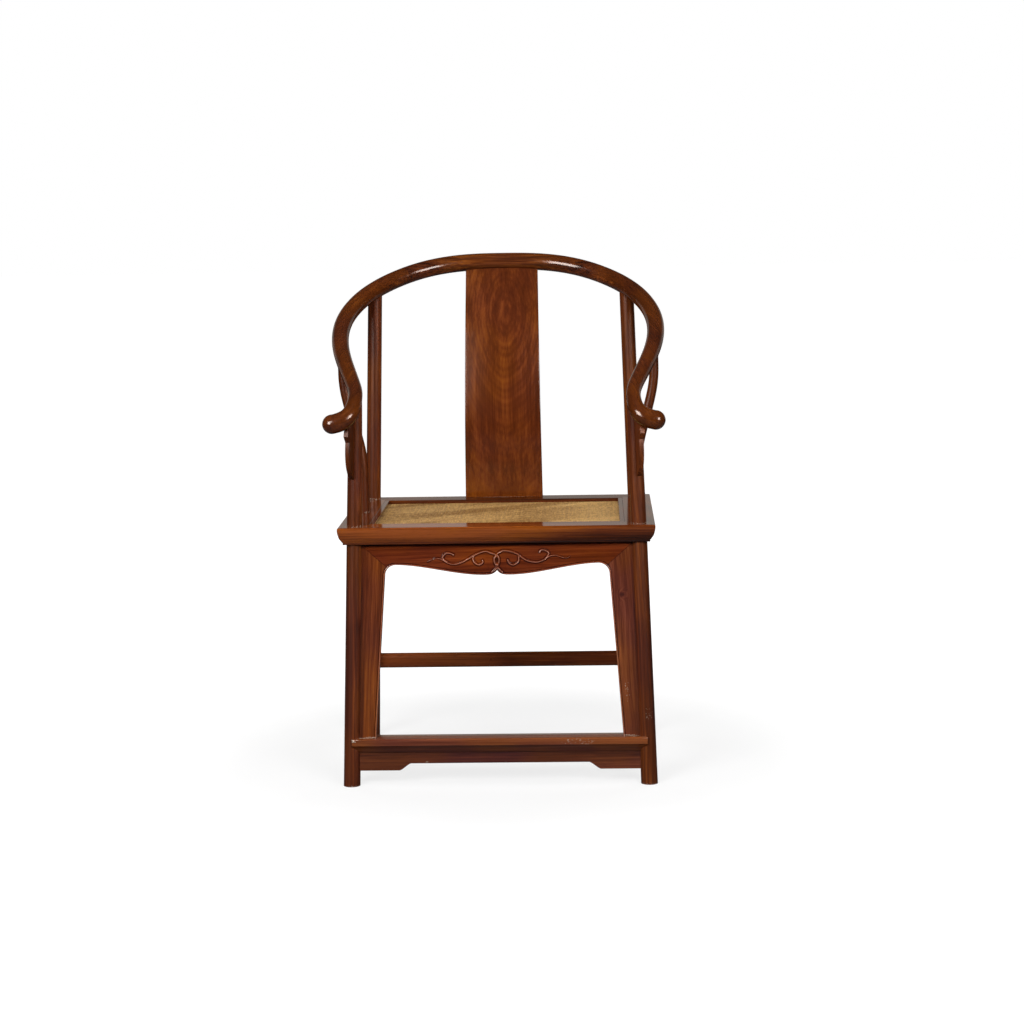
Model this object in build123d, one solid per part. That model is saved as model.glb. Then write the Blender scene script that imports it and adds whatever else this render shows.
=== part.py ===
from build123d import *
import math
import os

# Horseshoe back armchair, made piece by piece the way a joiner makes it.
# X runs across the chair, -Y is the front and +Z is up. The pieces are laid out about the middle of the
# seat, and the finished chair is moved so that its origin lies on the floor under the middle of its box.

# ---- Driving sizes in millimetres ----

fit_gap = 0.15                # play left around every tenon, tongue and peg

# Seat frame
seat_width = 600.0
seat_depth = 470.0
seat_height = 499.0
seat_thickness = 33.0
long_rail_width = 60.0        # front and back rails, seen from above
side_rail_width = 66.0
edge_inset = 9.7              # how far the moulded edge tucks in at its foot
edge_bead = 4.5               # height of the flat strip below the moulding
edge_shoulder_drop = 5.0      # frame top down to the fullest line of the edge
edge_shoulder_width = 3.0     # how far the rounded top corner reaches in
cane_recess = 7.0             # frame top to cane
cane_thickness = 2.0
webbing_thickness = 3.0
ledge_width = 8.0             # strip that pinches the cane against its ledge
corner_tenon_thickness = 10.0
corner_tenon_shoulder = 7.0
corner_tenon_cover = 9.0
corner_tenon_drop = 4.0       # how far it sits below the middle of the frame
corner_tenon_root = 12.0      # how far it grows out of the front rail's solid wood
batten_width = 32.0
batten_thickness = 16.0
batten_sag = 9.0
batten_spacing = 190.0
batten_tenon = 14.0
batten_tenon_thickness = 8.0
batten_tenon_shoulder = 5.0
batten_tenon_rise = 6.0       # batten's underside to its tenon
batten_end_relief = 4.0       # how far its ends stay below the webbing
batten_hollow_relief = 2.0

# Legs and posts
leg_inset = 31.0
leg_splay = 15.6              # each foot stands this much further out than the leg at the seat
foot_diameter = 32.0
leg_seat_diameter = 30.0
rear_post_diameter = 28.7
front_post_diameter = 25.6
post_tenon_diameter = 13.0
post_tenon_reach = 4.0        # how far the tenon passes the axis of the crest rail

# Crest rail
rear_post_height = 928.4      # floor to the rail's axis above a rear post
front_post_height = 743.8
crest_rise = 51.3             # middle of the back above the rear posts
crest_reach = 94.0            # middle of the back behind the rear posts
crest_fullness = 2.74         # power of the curve across the back
arm_bow = 52.3                # how far each arm swells outside its posts
arm_bow_place = 0.40          # where along the arm the swell is widest
crest_diameter = 34.9
arm_neck_diameter = 27.3
hook_end_diameter = 36.5
hook_out = 40.6
hook_forward = 46.0
hook_drop = 45.8
hook_lead = 39.0              # how strongly the curve holds its direction at either end of the hook
hook_end_direction = (0.985, 0.03, -0.17)
scarf_length = 62.0
rear_scarf_place = 0.868      # share of the way from the middle of the back to a rear post
front_scarf_place = 0.82      # share of the way from a rear post to a front post
scarf_peg_size = 6.0
scarf_peg_cover = 2.0

# Back splat
splat_foot_width = 159.0
splat_top_width = 148.0
splat_thickness = 11.0
splat_tongue_thickness = 6.0
splat_tongue_depth = 12.0
splat_setback = 13.0          # back face of the seat frame to the middle of the splat's foot
splat_belly = 6.0             # forward swell of the lower half
splat_tongue_shoulder = 4.0
splat_tongue_reach = 5.0      # how far the tongue passes the axis of the crest rail
splat_bend = ((0.0, 0.0), (0.17, -0.035), (0.34, -0.02), (0.52, 0.14), (0.70, 0.42), (0.86, 0.74), (1.0, 1.0))

# Arm stiles and brackets
stile_foot_diameter = 22.0
stile_top_diameter = 17.0
stile_tenon_diameter = 9.0
stile_tenon_depth = 16.0
stile_tenon_reach = 2.0       # how far its tenon passes the axis of the arm
stile_arm_inset = 3.0         # the stile's head stands this far inside the arm's axis
stile_inset = 30.0            # outside of the seat frame to the stile's foot
stile_place = 3.0             # how far the foot stands behind the middle of the seat
stile_bend_start = 86.0       # height above the seat where the bend begins
stile_bend_height = 190.0
bracket_thickness = 8.5
bracket_reach = 39.7          # post axis to the front of the bracket
bracket_flare = 8.5           # how far its upper end flares past that, under the hook
bracket_flare_height = 74.0   # bracket's point up to the start of the flare
bracket_height = 156.0        # rail axis down to the bracket's point
bracket_top_fall = 20.0       # how far its head drops with the rail
bracket_angle = 16.7          # turned outwards from straight ahead
bracket_tongue = 5.0
bracket_heel_height = 14.0    # bracket's point up to where its toe turns upright
bracket_heel_share = 0.72     # share of the reach at that height
bracket_full_height = 48.0    # bracket's point up to its full reach
bracket_cusp_rise = 12.0      # start of the flare up to its tip
bracket_head_share = 0.9      # share of the reach under the hook

# Aprons under the seat
apron_thickness = 12.0
apron_tongue = 5.0            # how far each board is let into a leg
apron_crown_depth = 41.4      # seat frame down to the opening beside its corners
apron_lobe_depth = 62.1       # seat frame down to the two lobes at the middle
apron_cusp_depth = 50.0       # seat frame down to the notch between the lobes
lobe_place = 28.0
lobe_notch_half = 8.0         # half width of the notch where it leaves the lobes
lobe_notch_rise = 3.0
lobe_slope_share = 0.56       # share of the way to the corner where the edge is half way down
front_upright_top = 56.0      # leg's place at the seat in to the edge of the opening
front_upright_foot = 33.0     # the same at the level of the footrest
side_upright_top = 54.0
side_upright_foot = 32.0
opening_corner = 21.0
side_apron_crown_depth = 41.4
back_apron_depth = 46.0
back_ear_depth = 92.0
back_ear_width = 22.0

# Footrest and stretchers
footrest_height = 93.0
footrest_thickness = 28.0
footrest_depth = 45.0
footrest_front = 22.5         # leg axis to the front edge
footrest_face = 12.5
footrest_cove = 14.0
footrest_tenon_shoulder = 5.0
ear_bottom = 29.0
foot_apron_bottom = 42.5
foot_apron_thickness = 10.0
ear_length = 81.0
ear_step = 21.0
stretcher_width = 20.0
stretcher_depth = 31.0
side_stretcher_height = 142.0
rear_stretcher_height = 174.5
stretcher_tenon = 9.0
stretcher_tenon_thickness = 10.0

# ---- Sizes worked out from the driving sizes ----

seat_underside = seat_height - seat_thickness
seat_middle = seat_height - seat_thickness / 2
cane_top = seat_height - cane_recess
ledge_top = cane_top - cane_thickness
inner_half_width = seat_width / 2 - side_rail_width
inner_half_depth = seat_depth / 2 - long_rail_width
leg_x = seat_width / 2 - leg_inset
leg_y = seat_depth / 2 - leg_inset
apron_crown = seat_underside - apron_crown_depth
apron_lobe = seat_underside - apron_lobe_depth
apron_cusp = seat_underside - apron_cusp_depth
side_apron_crown = seat_underside - side_apron_crown_depth
opening_half_top = leg_x - front_upright_top
opening_half_foot = leg_x - front_upright_foot
side_opening_half_top = leg_y - side_upright_top
side_opening_half_foot = leg_y - side_upright_foot
mid_span = 2 * seat_width     # longer than any piece, for cutting tools


# ---- Helpers ----

def mirrored(piece):
    """The same piece for the other side of the chair."""
    return mirror(piece, about=Plane.YZ)


def block(x_range, y_range, z_range):
    """Box between two limits on each axis."""
    size = [abs(high - low) for low, high in (x_range, y_range, z_range)]
    middle = [(high + low) / 2 for low, high in (x_range, y_range, z_range)]
    return Pos(*middle) * Box(*size)


def ring(point, tangent, radius, reference):
    """Disc across a curve, turned so that neighbouring discs line up."""
    return Plane(origin=point, x_dir=reference.cross(tangent), z_dir=tangent) * Circle(radius)


def tapered_bar(start, end, start_radius, end_radius):
    """Round bar between two points."""
    axis = end - start
    across = Vector(1, 0, 0)
    return loft([ring(start, axis, start_radius, across), ring(end, axis, end_radius, across)])


def lengthened(start, end, extra_start, extra_end):
    """The same line, longer at either end."""
    step = (end - start).normalized()
    return start - step * extra_start, end + step * extra_end


def spread(height):
    """How far a leg stands outside its place at the seat, at a height above the floor."""
    return leg_splay * (1 - height / seat_height)


def leg_point(height, end):
    """Right leg's axis at a height. end is +1 for the rear pair and -1 for the front pair."""
    lean = spread(min(height, seat_middle))
    return Vector(leg_x + spread(height), end * (leg_y + lean), height)


def leg_radius(height):
    """Radius of a leg below the seat."""
    return (foot_diameter + (leg_seat_diameter - foot_diameter) * height / seat_height) / 2


# ---- Crest rail curve, right half: middle of the back, arm, then hook ----

rear_joint = leg_point(rear_post_height, 1)
front_joint = leg_point(front_post_height, -1)


def back_curve(u):
    """Across the back: u is 0 at the middle and 1 above the rear post."""
    rise = 1 - u ** crest_fullness
    return rear_joint + Vector((u - 1) * rear_joint.X, crest_reach * rise, crest_rise * rise)


def arm_curve(v):
    """Along the arm: v is 0 above the rear post and 1 above the front post."""
    fall = (1 - arm_bow_place) / arm_bow_place
    swell = (v / arm_bow_place) * ((1 - v) / (1 - arm_bow_place)) ** fall
    return rear_joint + (front_joint - rear_joint) * v + Vector(arm_bow * swell, 0, 0)


def hook_curve(w):
    """Past the front post: w is 0 above the post and 1 at the middle of the rounded end."""
    end = front_joint + Vector(hook_out, -hook_forward, -hook_drop)
    along = (front_joint - rear_joint).normalized() * hook_lead
    away = Vector(*hook_end_direction) * hook_lead
    near = (1 - w) ** 3 * front_joint + 3 * w * (1 - w) ** 2 * (front_joint + along)
    return near + 3 * w ** 2 * (1 - w) * (end - away) + w ** 3 * end


def curve_tangent(curve, place):
    """Direction of a curve, between two points close together on it."""
    step = 0.004
    low = max(place - step, 0.0)
    high = min(place + step, 1.0)
    return (curve(high) - curve(low)).normalized()


def crest_stations():
    """Rings of the right half, from just beside the middle of the back to the hook's end."""
    full = crest_diameter / 2
    neck = arm_neck_diameter / 2
    swollen = hook_end_diameter / 2
    stations = [(back_curve, u, full) for u in (0.16, 0.34, 0.52, 0.68, 0.82, 0.93)]
    for v in (0.06, 0.16, 0.28, 0.40, 0.52, 0.64, 0.76, 0.87, 0.96):
        stations.append((arm_curve, v, full + (neck - full) * v ** 2))
    for w in (0.15, 0.35, 0.55, 0.75, 0.9, 1.0):
        stations.append((hook_curve, w, neck + (swollen - neck) * w * w * (3 - 2 * w)))
    return stations


def right_rings():
    """Place, direction and radius of every ring of the right half, the middle of the back first."""
    rings = [(back_curve(0), Vector(1, 0, 0), crest_diameter / 2)]
    for curve, place, radius in crest_stations():
        rings.append((curve(place), curve_tangent(curve, place), radius))
    return rings


def centre_blank():
    """Middle length of the rail, from past one rear post to past the other."""
    right = right_rings()[1:8]
    left = [(Vector(-at.X, at.Y, at.Z), Vector(along.X, -along.Y, -along.Z), radius)
            for at, along, radius in reversed(right)]
    rings = left + right_rings()[:1] + right
    return loft([ring(at, along, radius, Vector(0, 0, 1)) for at, along, radius in rings])


def right_blank():
    """Right side of the rail with its arm and rounded hook, before it is cut into lengths."""
    rings = right_rings()[2:]
    rail = loft([ring(at, along, radius, Vector(0, 0, 1)) for at, along, radius in rings])
    return rail + Pos(rings[-1][0]) * Sphere(hook_end_diameter / 2 + 0.01)


def scarf_plane(curve, place):
    """Plane of a scarf joint: x runs along the rail towards the hook and z is up."""
    along = curve_tangent(curve, place)
    across = Vector(0, 0, 1).cross(along)
    return Plane(origin=curve(place), x_dir=along, z_dir=along.cross(across))


def beyond_scarf(plane):
    """Everything past a scarf joint on the right side: the lower half starts later than the upper."""
    far = mid_span
    half = scarf_length / 2
    upper = block((-half, far), (-far, far), (0, far))
    lower = block((half, far), (-far, far), (-far, 0))
    right_side = block((0, far), (-far, far), (-far, far))
    return (plane * (upper + lower)) & right_side


def scarf_peg(plane, radius, gap):
    """Square peg driven through a scarf from the inside of the rail."""
    side = scarf_peg_size + 2 * gap
    return plane * Box(side, 2 * (radius - scarf_peg_cover + gap), side)


# ---- Legs, each from the floor through the seat frame to the crest rail ----

def leg_blank(end, gap, top_height, top_diameter):
    """Leg below the seat and post above it, as one bar with a slight bend inside the frame."""
    foot = leg_point(0, end)
    bend = leg_point(seat_middle, end)
    top = leg_point(top_height, end)
    start, stop = lengthened(foot, bend, 4.0, 0.0)
    seat_radius = leg_seat_diameter / 2 + gap
    lower = tapered_bar(start, stop, foot_diameter / 2 + gap, seat_radius)
    upper = tapered_bar(bend, top, seat_radius, top_diameter / 2 + gap)
    elbow = Pos(bend) * Sphere(seat_radius)
    return lower + upper + elbow


def post_tenon(end, top_height, gap):
    """Round tenon that carries the crest rail."""
    low = leg_point(top_height - crest_diameter, end)
    top = leg_point(top_height, end)
    start, stop = lengthened(low, top, 0.0, post_tenon_reach + gap)
    radius = post_tenon_diameter / 2 + gap
    return tapered_bar(start, stop, radius, radius)


# ---- Seat frame ----

def edge_profile(length, width):
    """Rail with the moulded outer edge, run along X; the outside faces -Y and the top is at 0."""
    foot = -seat_thickness
    bead_top = foot + edge_bead
    height = seat_thickness - edge_bead - edge_shoulder_drop
    shares = ((0.0, 0.0), (0.30, 0.10), (0.64, 0.35), (0.96, 0.89))
    curve = [(edge_inset * inward, -edge_shoulder_drop - height * down) for down, inward in shares]
    outer = Polyline((width, foot), (edge_inset, foot), (edge_inset, bead_top), curve[-1])
    belly = Spline(*reversed(curve))
    corner = (edge_shoulder_width, 0.0)
    shoulder = Spline(curve[0], (edge_shoulder_width * 0.23, -edge_shoulder_drop * 0.32), corner)
    inner = Polyline(corner, (width, 0.0), (width, foot))
    face = make_face(outer + belly + shoulder + inner)
    section = Plane(origin=(-length / 2, 0, 0), x_dir=(0, 1, 0), z_dir=(1, 0, 0)) * face
    return extrude(section, amount=length)


def mitre_keep(for_front):
    """Prism over the front or right side of the seat, out to the mitre lines."""
    far = 40.0
    outer = [(seat_width / 2, seat_depth / 2), (inner_half_width, inner_half_depth)]
    slope = (outer[0][0] - outer[1][0]) / (outer[0][1] - outer[1][1])
    tip_x = seat_width / 2 + far * slope
    tip_y = seat_depth / 2 + far
    if for_front:
        points = [(-tip_x, -tip_y), (tip_x, -tip_y), (inner_half_width, -inner_half_depth),
                  (-inner_half_width, -inner_half_depth)]
    else:
        points = [(tip_x, -tip_y), (tip_x, tip_y), (inner_half_width, inner_half_depth),
                  (inner_half_width, -inner_half_depth)]
    base = Pos(0, 0, seat_underside - 1) * make_face(Polyline(*points, close=True))
    return extrude(base, amount=seat_thickness + 2)


def corner_tongue(gap):
    """Tongue of the right front mitre: it grows from the front rail into the side rail."""
    x_range = (inner_half_width - corner_tenon_root, seat_width / 2 - corner_tenon_cover + gap)
    inner_edge = -inner_half_depth - corner_tenon_shoulder + gap
    outer_edge = -seat_depth / 2 + corner_tenon_cover - gap
    middle = seat_middle - corner_tenon_drop
    half = corner_tenon_thickness / 2 + gap
    return block(x_range, (outer_edge, inner_edge), (middle - half, middle + half))


def cane_space(extra, bottom, top):
    """Rectangle over the seat opening, wider than it by extra all round."""
    half_x = inner_half_width + extra
    half_y = inner_half_depth + extra
    return block((-half_x, half_x), (-half_y, half_y), (bottom, top))


def batten(x_place, gap):
    """Bowed batten under the cane, from the front rail to the back rail."""
    reach = inner_half_depth + batten_tenon + gap
    level = seat_height - cane_recess - cane_thickness - webbing_thickness - batten_sag
    body = block((-batten_width / 2, batten_width / 2), (-inner_half_depth, inner_half_depth),
                 (level - batten_thickness, level + batten_sag - batten_end_relief))
    hollow_radius = (inner_half_depth ** 2 + batten_sag ** 2) / (2 * batten_sag)
    bowl_level = level - batten_hollow_relief + hollow_radius
    body = body - Pos(0, 0, bowl_level) * Rot(0, 90, 0) * Cylinder(hollow_radius, mid_span)
    tenon_low = level - batten_thickness + batten_tenon_rise - gap
    tenon_half = batten_width / 2 - batten_tenon_shoulder + gap
    tenon = block((-tenon_half, tenon_half), (-reach, reach),
                  (tenon_low, tenon_low + batten_tenon_thickness + 2 * gap))
    return Pos(x_place, 0, 0) * (body + tenon)


# ---- Splat, stiles and brackets ----

def splat_line():
    """Middle of the splat seen from the side, as points (y, z) from its foot to the crest rail."""
    foot_y = seat_depth / 2 - splat_setback
    top = back_curve(0)
    rise = top.Z - seat_height
    lean = top.Y - foot_y
    line = []
    for z_share, y_share in splat_bend:
        belly = splat_belly * math.sin(math.pi * z_share)
        line.append((foot_y + lean * y_share - belly, seat_height + rise * z_share))
    return line


def splat_board(thickness, below, above):
    """Bent board of the splat before it is trimmed to its width, longer than it shows by below and above."""
    points = splat_line()
    last_y, last_z = points[-1]
    before_y, before_z = points[-2]
    stretch = above / math.hypot(last_y - before_y, last_z - before_z)
    points[-1] = (last_y + (last_y - before_y) * stretch, last_z + (last_z - before_z) * stretch)
    front = [(y - thickness / 2, z) for y, z in points]
    back = [(y + thickness / 2, z) for y, z in points]
    edge = Spline(*front) + Line(front[-1], back[-1]) + Spline(*reversed(back)) + Line(back[0], front[0])
    side = Plane(origin=(-mid_span / 4, 0, 0), x_dir=(0, 1, 0), z_dir=(1, 0, 0)) * make_face(edge)
    bent = extrude(side, amount=mid_span / 2)
    if below == 0:
        return bent
    foot = block((-mid_span / 4, mid_span / 4), (front[0][0], back[0][0]), (seat_height - below, seat_height))
    return bent + foot


def splat_outline(inset, below):
    """Prism that trims the splat to its width, seen from the front."""
    top_z = back_curve(0).Z + crest_diameter
    low_z = seat_height - below
    slope = (splat_top_width - splat_foot_width) / 2 / (back_curve(0).Z - seat_height)
    foot_half = splat_foot_width / 2 - inset
    low_half = foot_half + slope * (low_z - seat_height)
    top_half = foot_half + slope * (top_z - seat_height)
    points = [(-low_half, low_z), (low_half, low_z), (top_half, top_z), (-top_half, top_z)]
    face = Plane(origin=(0, mid_span / 2, 0), x_dir=(1, 0, 0), z_dir=(0, -1, 0)) * make_face(
        Polyline(*points, close=True))
    return extrude(face, amount=mid_span)


def splat_tongue(gap):
    """Thinner tongue that runs from the rear seat rail's groove to the crest rail's groove."""
    board = splat_board(splat_tongue_thickness + 2 * gap, splat_tongue_depth + gap, splat_tongue_reach + gap)
    return board & splat_outline(splat_tongue_shoulder - gap, splat_tongue_depth + gap)


def stile_point(height):
    """Axis of the right arm stile."""
    foot_x = seat_width / 2 - stile_inset
    share = (height - seat_height - stile_bend_start) / stile_bend_height
    share = min(max(share, 0.0), 1.0)
    top_x = arm_curve(stile_arm_place).X - stile_arm_inset
    x_place = foot_x + (top_x - foot_x) * share * share * (3 - 2 * share)
    return Vector(x_place, stile_place, height)


stile_arm_place = (leg_y - stile_place) / (2 * leg_y)
stile_top_height = arm_curve(stile_arm_place).Z


def stile_radius(height):
    """Radius of the stile, thinning towards the arm."""
    share = (height - seat_height) / (stile_top_height - seat_height)
    return (stile_foot_diameter + (stile_top_diameter - stile_foot_diameter) * share) / 2


def stile_blank():
    """Curved stile from the seat to the axis of the arm."""
    count = 12
    rings = []
    for index in range(count + 1):
        height = seat_height + (stile_top_height - seat_height) * index / count
        step = 3.0
        tangent = stile_point(height + step) - stile_point(height - step)
        rings.append(ring(stile_point(height), tangent, stile_radius(height), Vector(0, 1, 0)))
    return loft(rings)


def stile_tenons(gap):
    """Round tenons at the foot and the top of the stile."""
    radius = stile_tenon_diameter / 2 + gap
    foot = stile_point(seat_height)
    root = Vector(0, 0, stile_tenon_depth)
    low = tapered_bar(foot - Vector(0, 0, stile_tenon_depth + gap), foot + root, radius, radius)
    top = stile_point(stile_top_height)
    reach = Vector(0, 0, stile_tenon_reach + gap)
    high = tapered_bar(top - Vector(0, 0, crest_diameter), top + reach, radius, radius)
    return low + high


def bracket_board(gap):
    """Long narrow bracket in front of the right front post, from the hook down to a point on the post."""
    top = leg_point(front_post_height, -1)
    axis = (top - leg_point(seat_height, -1)).normalized()
    angle = math.radians(bracket_angle)
    outward = Vector(math.sin(angle), -math.cos(angle), 0)
    plane = Plane(origin=top, x_dir=outward, z_dir=outward.cross(axis))
    post_front = front_post_diameter / 2
    tip = (post_front - 1.0, -bracket_height)
    heel = (bracket_reach * bracket_heel_share, bracket_heel_height - bracket_height)
    full = (bracket_reach, bracket_full_height - bracket_height)
    waist = (bracket_reach * 0.985, bracket_flare_height - bracket_height)
    cusp = (bracket_reach + bracket_flare, waist[1] + bracket_cusp_rise)
    head = (bracket_reach * bracket_head_share, -bracket_top_fall)
    blade = Spline(tip, heel, full, waist)
    flare = Spline(waist, (bracket_reach + bracket_flare * 0.4, waist[1] + bracket_cusp_rise * 0.42), cusp)
    rest = Polyline(cusp, head, (0.0, 0.0), (0.0, -bracket_height), tip)
    return extrude(plane * make_face(blade + flare + rest), amount=bracket_thickness / 2 + gap, both=True)


# ---- Boards between the legs ----

leg_lean = leg_splay / seat_height


def front_plane():
    """Leaning plane through both front legs: x across, y up the slope, z out to the front."""
    return Plane(origin=(0, -leg_y - leg_splay, 0), x_dir=(1, 0, 0), z_dir=(0, -1, leg_lean))


def back_plane():
    """Leaning plane through both rear legs, facing the back."""
    return Plane(origin=(0, leg_y + leg_splay, 0), x_dir=(-1, 0, 0), z_dir=(0, 1, leg_lean))


def right_plane():
    """Leaning plane through both right legs, facing out."""
    return Plane(origin=(leg_x + leg_splay, 0, 0), x_dir=(0, 1, 0), z_dir=(1, 0, leg_lean))


def up_slope(height):
    """Distance along a leaning plane for a height above the floor."""
    return height * math.hypot(1.0, leg_lean)


def leg_inner_edge(half_span, height):
    """Place across a leaning plane where a board's edge sits, let into the leg by the tongue."""
    return half_span + spread(height) - leg_radius(height) + apron_tongue


def board(face, plane, thickness, low, high):
    """Board about a leaning plane, with level edges at two heights."""
    level = block((-mid_span, mid_span), (-mid_span, mid_span), (low, high))
    return extrude(plane * face, amount=thickness / 2, both=True) & level


def opening_edge(half_top, half_foot, crown, height):
    """Half width of an arched opening at a height."""
    straight = crown - opening_corner - footrest_height
    return half_foot + (half_top - half_foot) * (height - footrest_height) / straight


def arch_upright(side, half_span, half_top, half_foot, crown, foot_height, plane, thickness):
    """Upright board of an arch, from the mitre down to its foot; side is +1 or -1 across the plane."""
    spring = crown - opening_corner
    cut_share = 1 - math.sqrt(0.5)
    inner_foot = opening_edge(half_top, half_foot, crown, foot_height)
    mitre = (half_top - opening_corner * cut_share, crown - opening_corner * cut_share)
    middle = (half_top - opening_corner * (1 - math.cos(math.pi / 8)),
              spring + opening_corner * math.sin(math.pi / 8))
    shoulder = (leg_inner_edge(half_span, seat_underside), seat_underside)
    outer_foot = (leg_inner_edge(half_span, foot_height), foot_height)
    corners = [mitre, shoulder, outer_foot, (inner_foot, foot_height), (half_top, spring), middle]
    points = [(side * x, up_slope(z)) for x, z in corners]
    edge = Polyline(*points[:5]) + ThreePointArc(points[4], points[5], points[0])
    return board(make_face(edge), plane, thickness, foot_height, seat_underside)


def arch_top(half_span, half_top, crown, lobe, plane, thickness):
    """Top board of an arch, mitred to its uprights; with a lobe height its lower edge has two lobes."""
    corner = half_top - opening_corner
    cut_share = 1 - math.sqrt(0.5)
    mitre = (half_top - opening_corner * cut_share, crown - opening_corner * cut_share)
    middle = (corner + opening_corner * math.cos(3 * math.pi / 8),
              crown - opening_corner * (1 - math.sin(3 * math.pi / 8)))
    top = up_slope(seat_underside)
    leg_top = leg_inner_edge(half_span, seat_underside)
    level = up_slope(crown)
    edge = Line((-leg_top, top), (leg_top, top))
    for side in (-1, 1):
        bend = (side * mitre[0], up_slope(mitre[1]))
        edge += Line((side * leg_top, top), bend)
        edge += ThreePointArc(bend, (side * middle[0], up_slope(middle[1])), (side * corner, level))
        if lobe is not None:
            half_way = up_slope((crown + lobe) / 2)
            low = (side * lobe_place, up_slope(lobe))
            flat = [(-side, 0), (-side, 0)]
            slope = (side * corner * lobe_slope_share, half_way)
            notch = (side * lobe_notch_half, up_slope(lobe + lobe_notch_rise))
            edge += Spline((side * corner, level), slope, low, tangents=flat)
            edge += Spline(low, notch, (0, up_slope(apron_cusp)))
    if lobe is None:
        edge += Line((-corner, level), (corner, level))
    return board(make_face(edge), plane, thickness, 0, seat_underside)


def back_apron_piece(side_piece):
    """Straight board under the rear rail, or one of the ears that hang from its ends."""
    top = seat_underside
    low = top - back_apron_depth
    ear_low = top - back_ear_depth
    edge_top = leg_inner_edge(leg_x, top)
    edge_low = leg_inner_edge(leg_x, low)
    edge_ear = leg_inner_edge(leg_x, ear_low)
    if not side_piece:
        points = [(-edge_top, top), (edge_top, top), (edge_low, low), (-edge_low, low)]
    else:
        points = [(-edge_low, low), (back_ear_width - edge_low, low)]
        points += [(back_ear_width * 0.5 - edge_ear, ear_low), (-edge_ear, ear_low)]
    face = make_face(Polyline(*[(x, up_slope(z)) for x, z in points], close=True))
    return board(face, back_plane(), apron_thickness, ear_low, low if side_piece else top)


def footrest_board():
    """Footrest between the front legs, with its cove cut under the front edge."""
    low = footrest_height - footrest_thickness
    axis_y = -leg_y - spread(footrest_height)
    half = leg_x + spread(footrest_height)
    front = axis_y - footrest_front
    back = front + footrest_depth
    face_low = footrest_height - footrest_face
    points = [(back, footrest_height), (front, footrest_height), (front, face_low)]
    points += [(front + footrest_cove, low), (back, low)]
    end = Plane(origin=(-half, 0, 0), x_dir=(0, 1, 0), z_dir=(1, 0, 0))
    return extrude(end * make_face(Polyline(*points, close=True)), amount=2 * half)


def footrest_apron_board():
    """Thin board under the footrest with an ear at each leg."""
    top = footrest_height - footrest_thickness
    edge_top = leg_inner_edge(leg_x, top)
    edge_low = leg_inner_edge(leg_x, ear_bottom)
    inner = edge_low - ear_length
    step = inner - ear_step
    points = [(-edge_top, top), (edge_top, top), (edge_low, ear_bottom), (inner, ear_bottom)]
    points += [(step, foot_apron_bottom), (-step, foot_apron_bottom)]
    points += [(-inner, ear_bottom), (-edge_low, ear_bottom)]
    face = make_face(Polyline(*[(x, up_slope(z)) for x, z in points], close=True))
    return board(face, front_plane(), foot_apron_thickness, 0, top)


def footrest_tenon(gap):
    """Flat tenon that carries the footrest into both front legs."""
    low = footrest_height - footrest_thickness
    axis_y = -leg_y - spread(footrest_height)
    reach = leg_x + spread(footrest_height) - leg_radius(footrest_height) + stretcher_tenon + gap
    half = stretcher_tenon_thickness + gap
    shoulder = footrest_tenon_shoulder - gap
    depth = (axis_y - half, axis_y + half)
    return block((-reach, reach), depth, (low + shoulder, footrest_height - shoulder))


def stretcher_bar(half_span, height, plane):
    """Rounded stretcher that runs from leg axis to leg axis."""
    middle = height - stretcher_depth / 2
    reach = half_span + spread(middle)
    origin = plane.from_local_coords(Vector(-reach, up_slope(middle), 0))
    section = Plane(origin=origin, x_dir=plane.z_dir, z_dir=plane.x_dir)
    return extrude(section * SlotOverall(stretcher_depth, stretcher_width, rotation=90), amount=2 * reach)


def stretcher_core(half_span, height, plane, gap):
    """The part of a stretcher that enters the legs."""
    middle = height - stretcher_depth / 2
    edge = half_span + spread(middle) - leg_radius(middle)
    reach = edge + stretcher_tenon + gap
    origin = plane.from_local_coords(Vector(-reach, up_slope(middle), 0))
    section = Plane(origin=origin, x_dir=plane.z_dir, z_dir=plane.x_dir)
    tenon = Rectangle(stretcher_tenon_thickness + 2 * gap, stretcher_depth * 0.6 + 2 * gap)
    return extrude(section * tenon, amount=2 * reach)


# ---- The pieces ----

pieces = {}

# Crest rail: five lengths with half-lap scarf joints, each locked by a peg.
blank = right_blank()
middle_blank = centre_blank()
rear_scarf = scarf_plane(back_curve, rear_scarf_place)
front_scarf = scarf_plane(arm_curve, front_scarf_place)
past_rear = beyond_scarf(rear_scarf)
past_front = beyond_scarf(front_scarf)
rear_radius = crest_diameter / 2
front_radius = (crest_diameter + (arm_neck_diameter - crest_diameter) * front_scarf_place ** 2) / 2
rear_socket = scarf_peg(rear_scarf, rear_radius, fit_gap)
front_socket = scarf_peg(front_scarf, front_radius, fit_gap)

centre = middle_blank - past_rear - mirrored(past_rear) - splat_tongue(fit_gap)
pieces["crest_rail_centre"] = centre - rear_socket - mirrored(rear_socket)
shoulder = (blank & past_rear) - past_front - rear_socket - front_socket
shoulder = shoulder - post_tenon(1, rear_post_height, fit_gap) - stile_tenons(fit_gap)
hook = (blank & past_front) - front_socket - post_tenon(-1, front_post_height, fit_gap)
pegs = [scarf_peg(rear_scarf, rear_radius, 0), scarf_peg(front_scarf, front_radius, 0)]
pieces["crest_scarf_pegs"] = Compound(pegs + [mirrored(peg) for peg in pegs])

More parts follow.
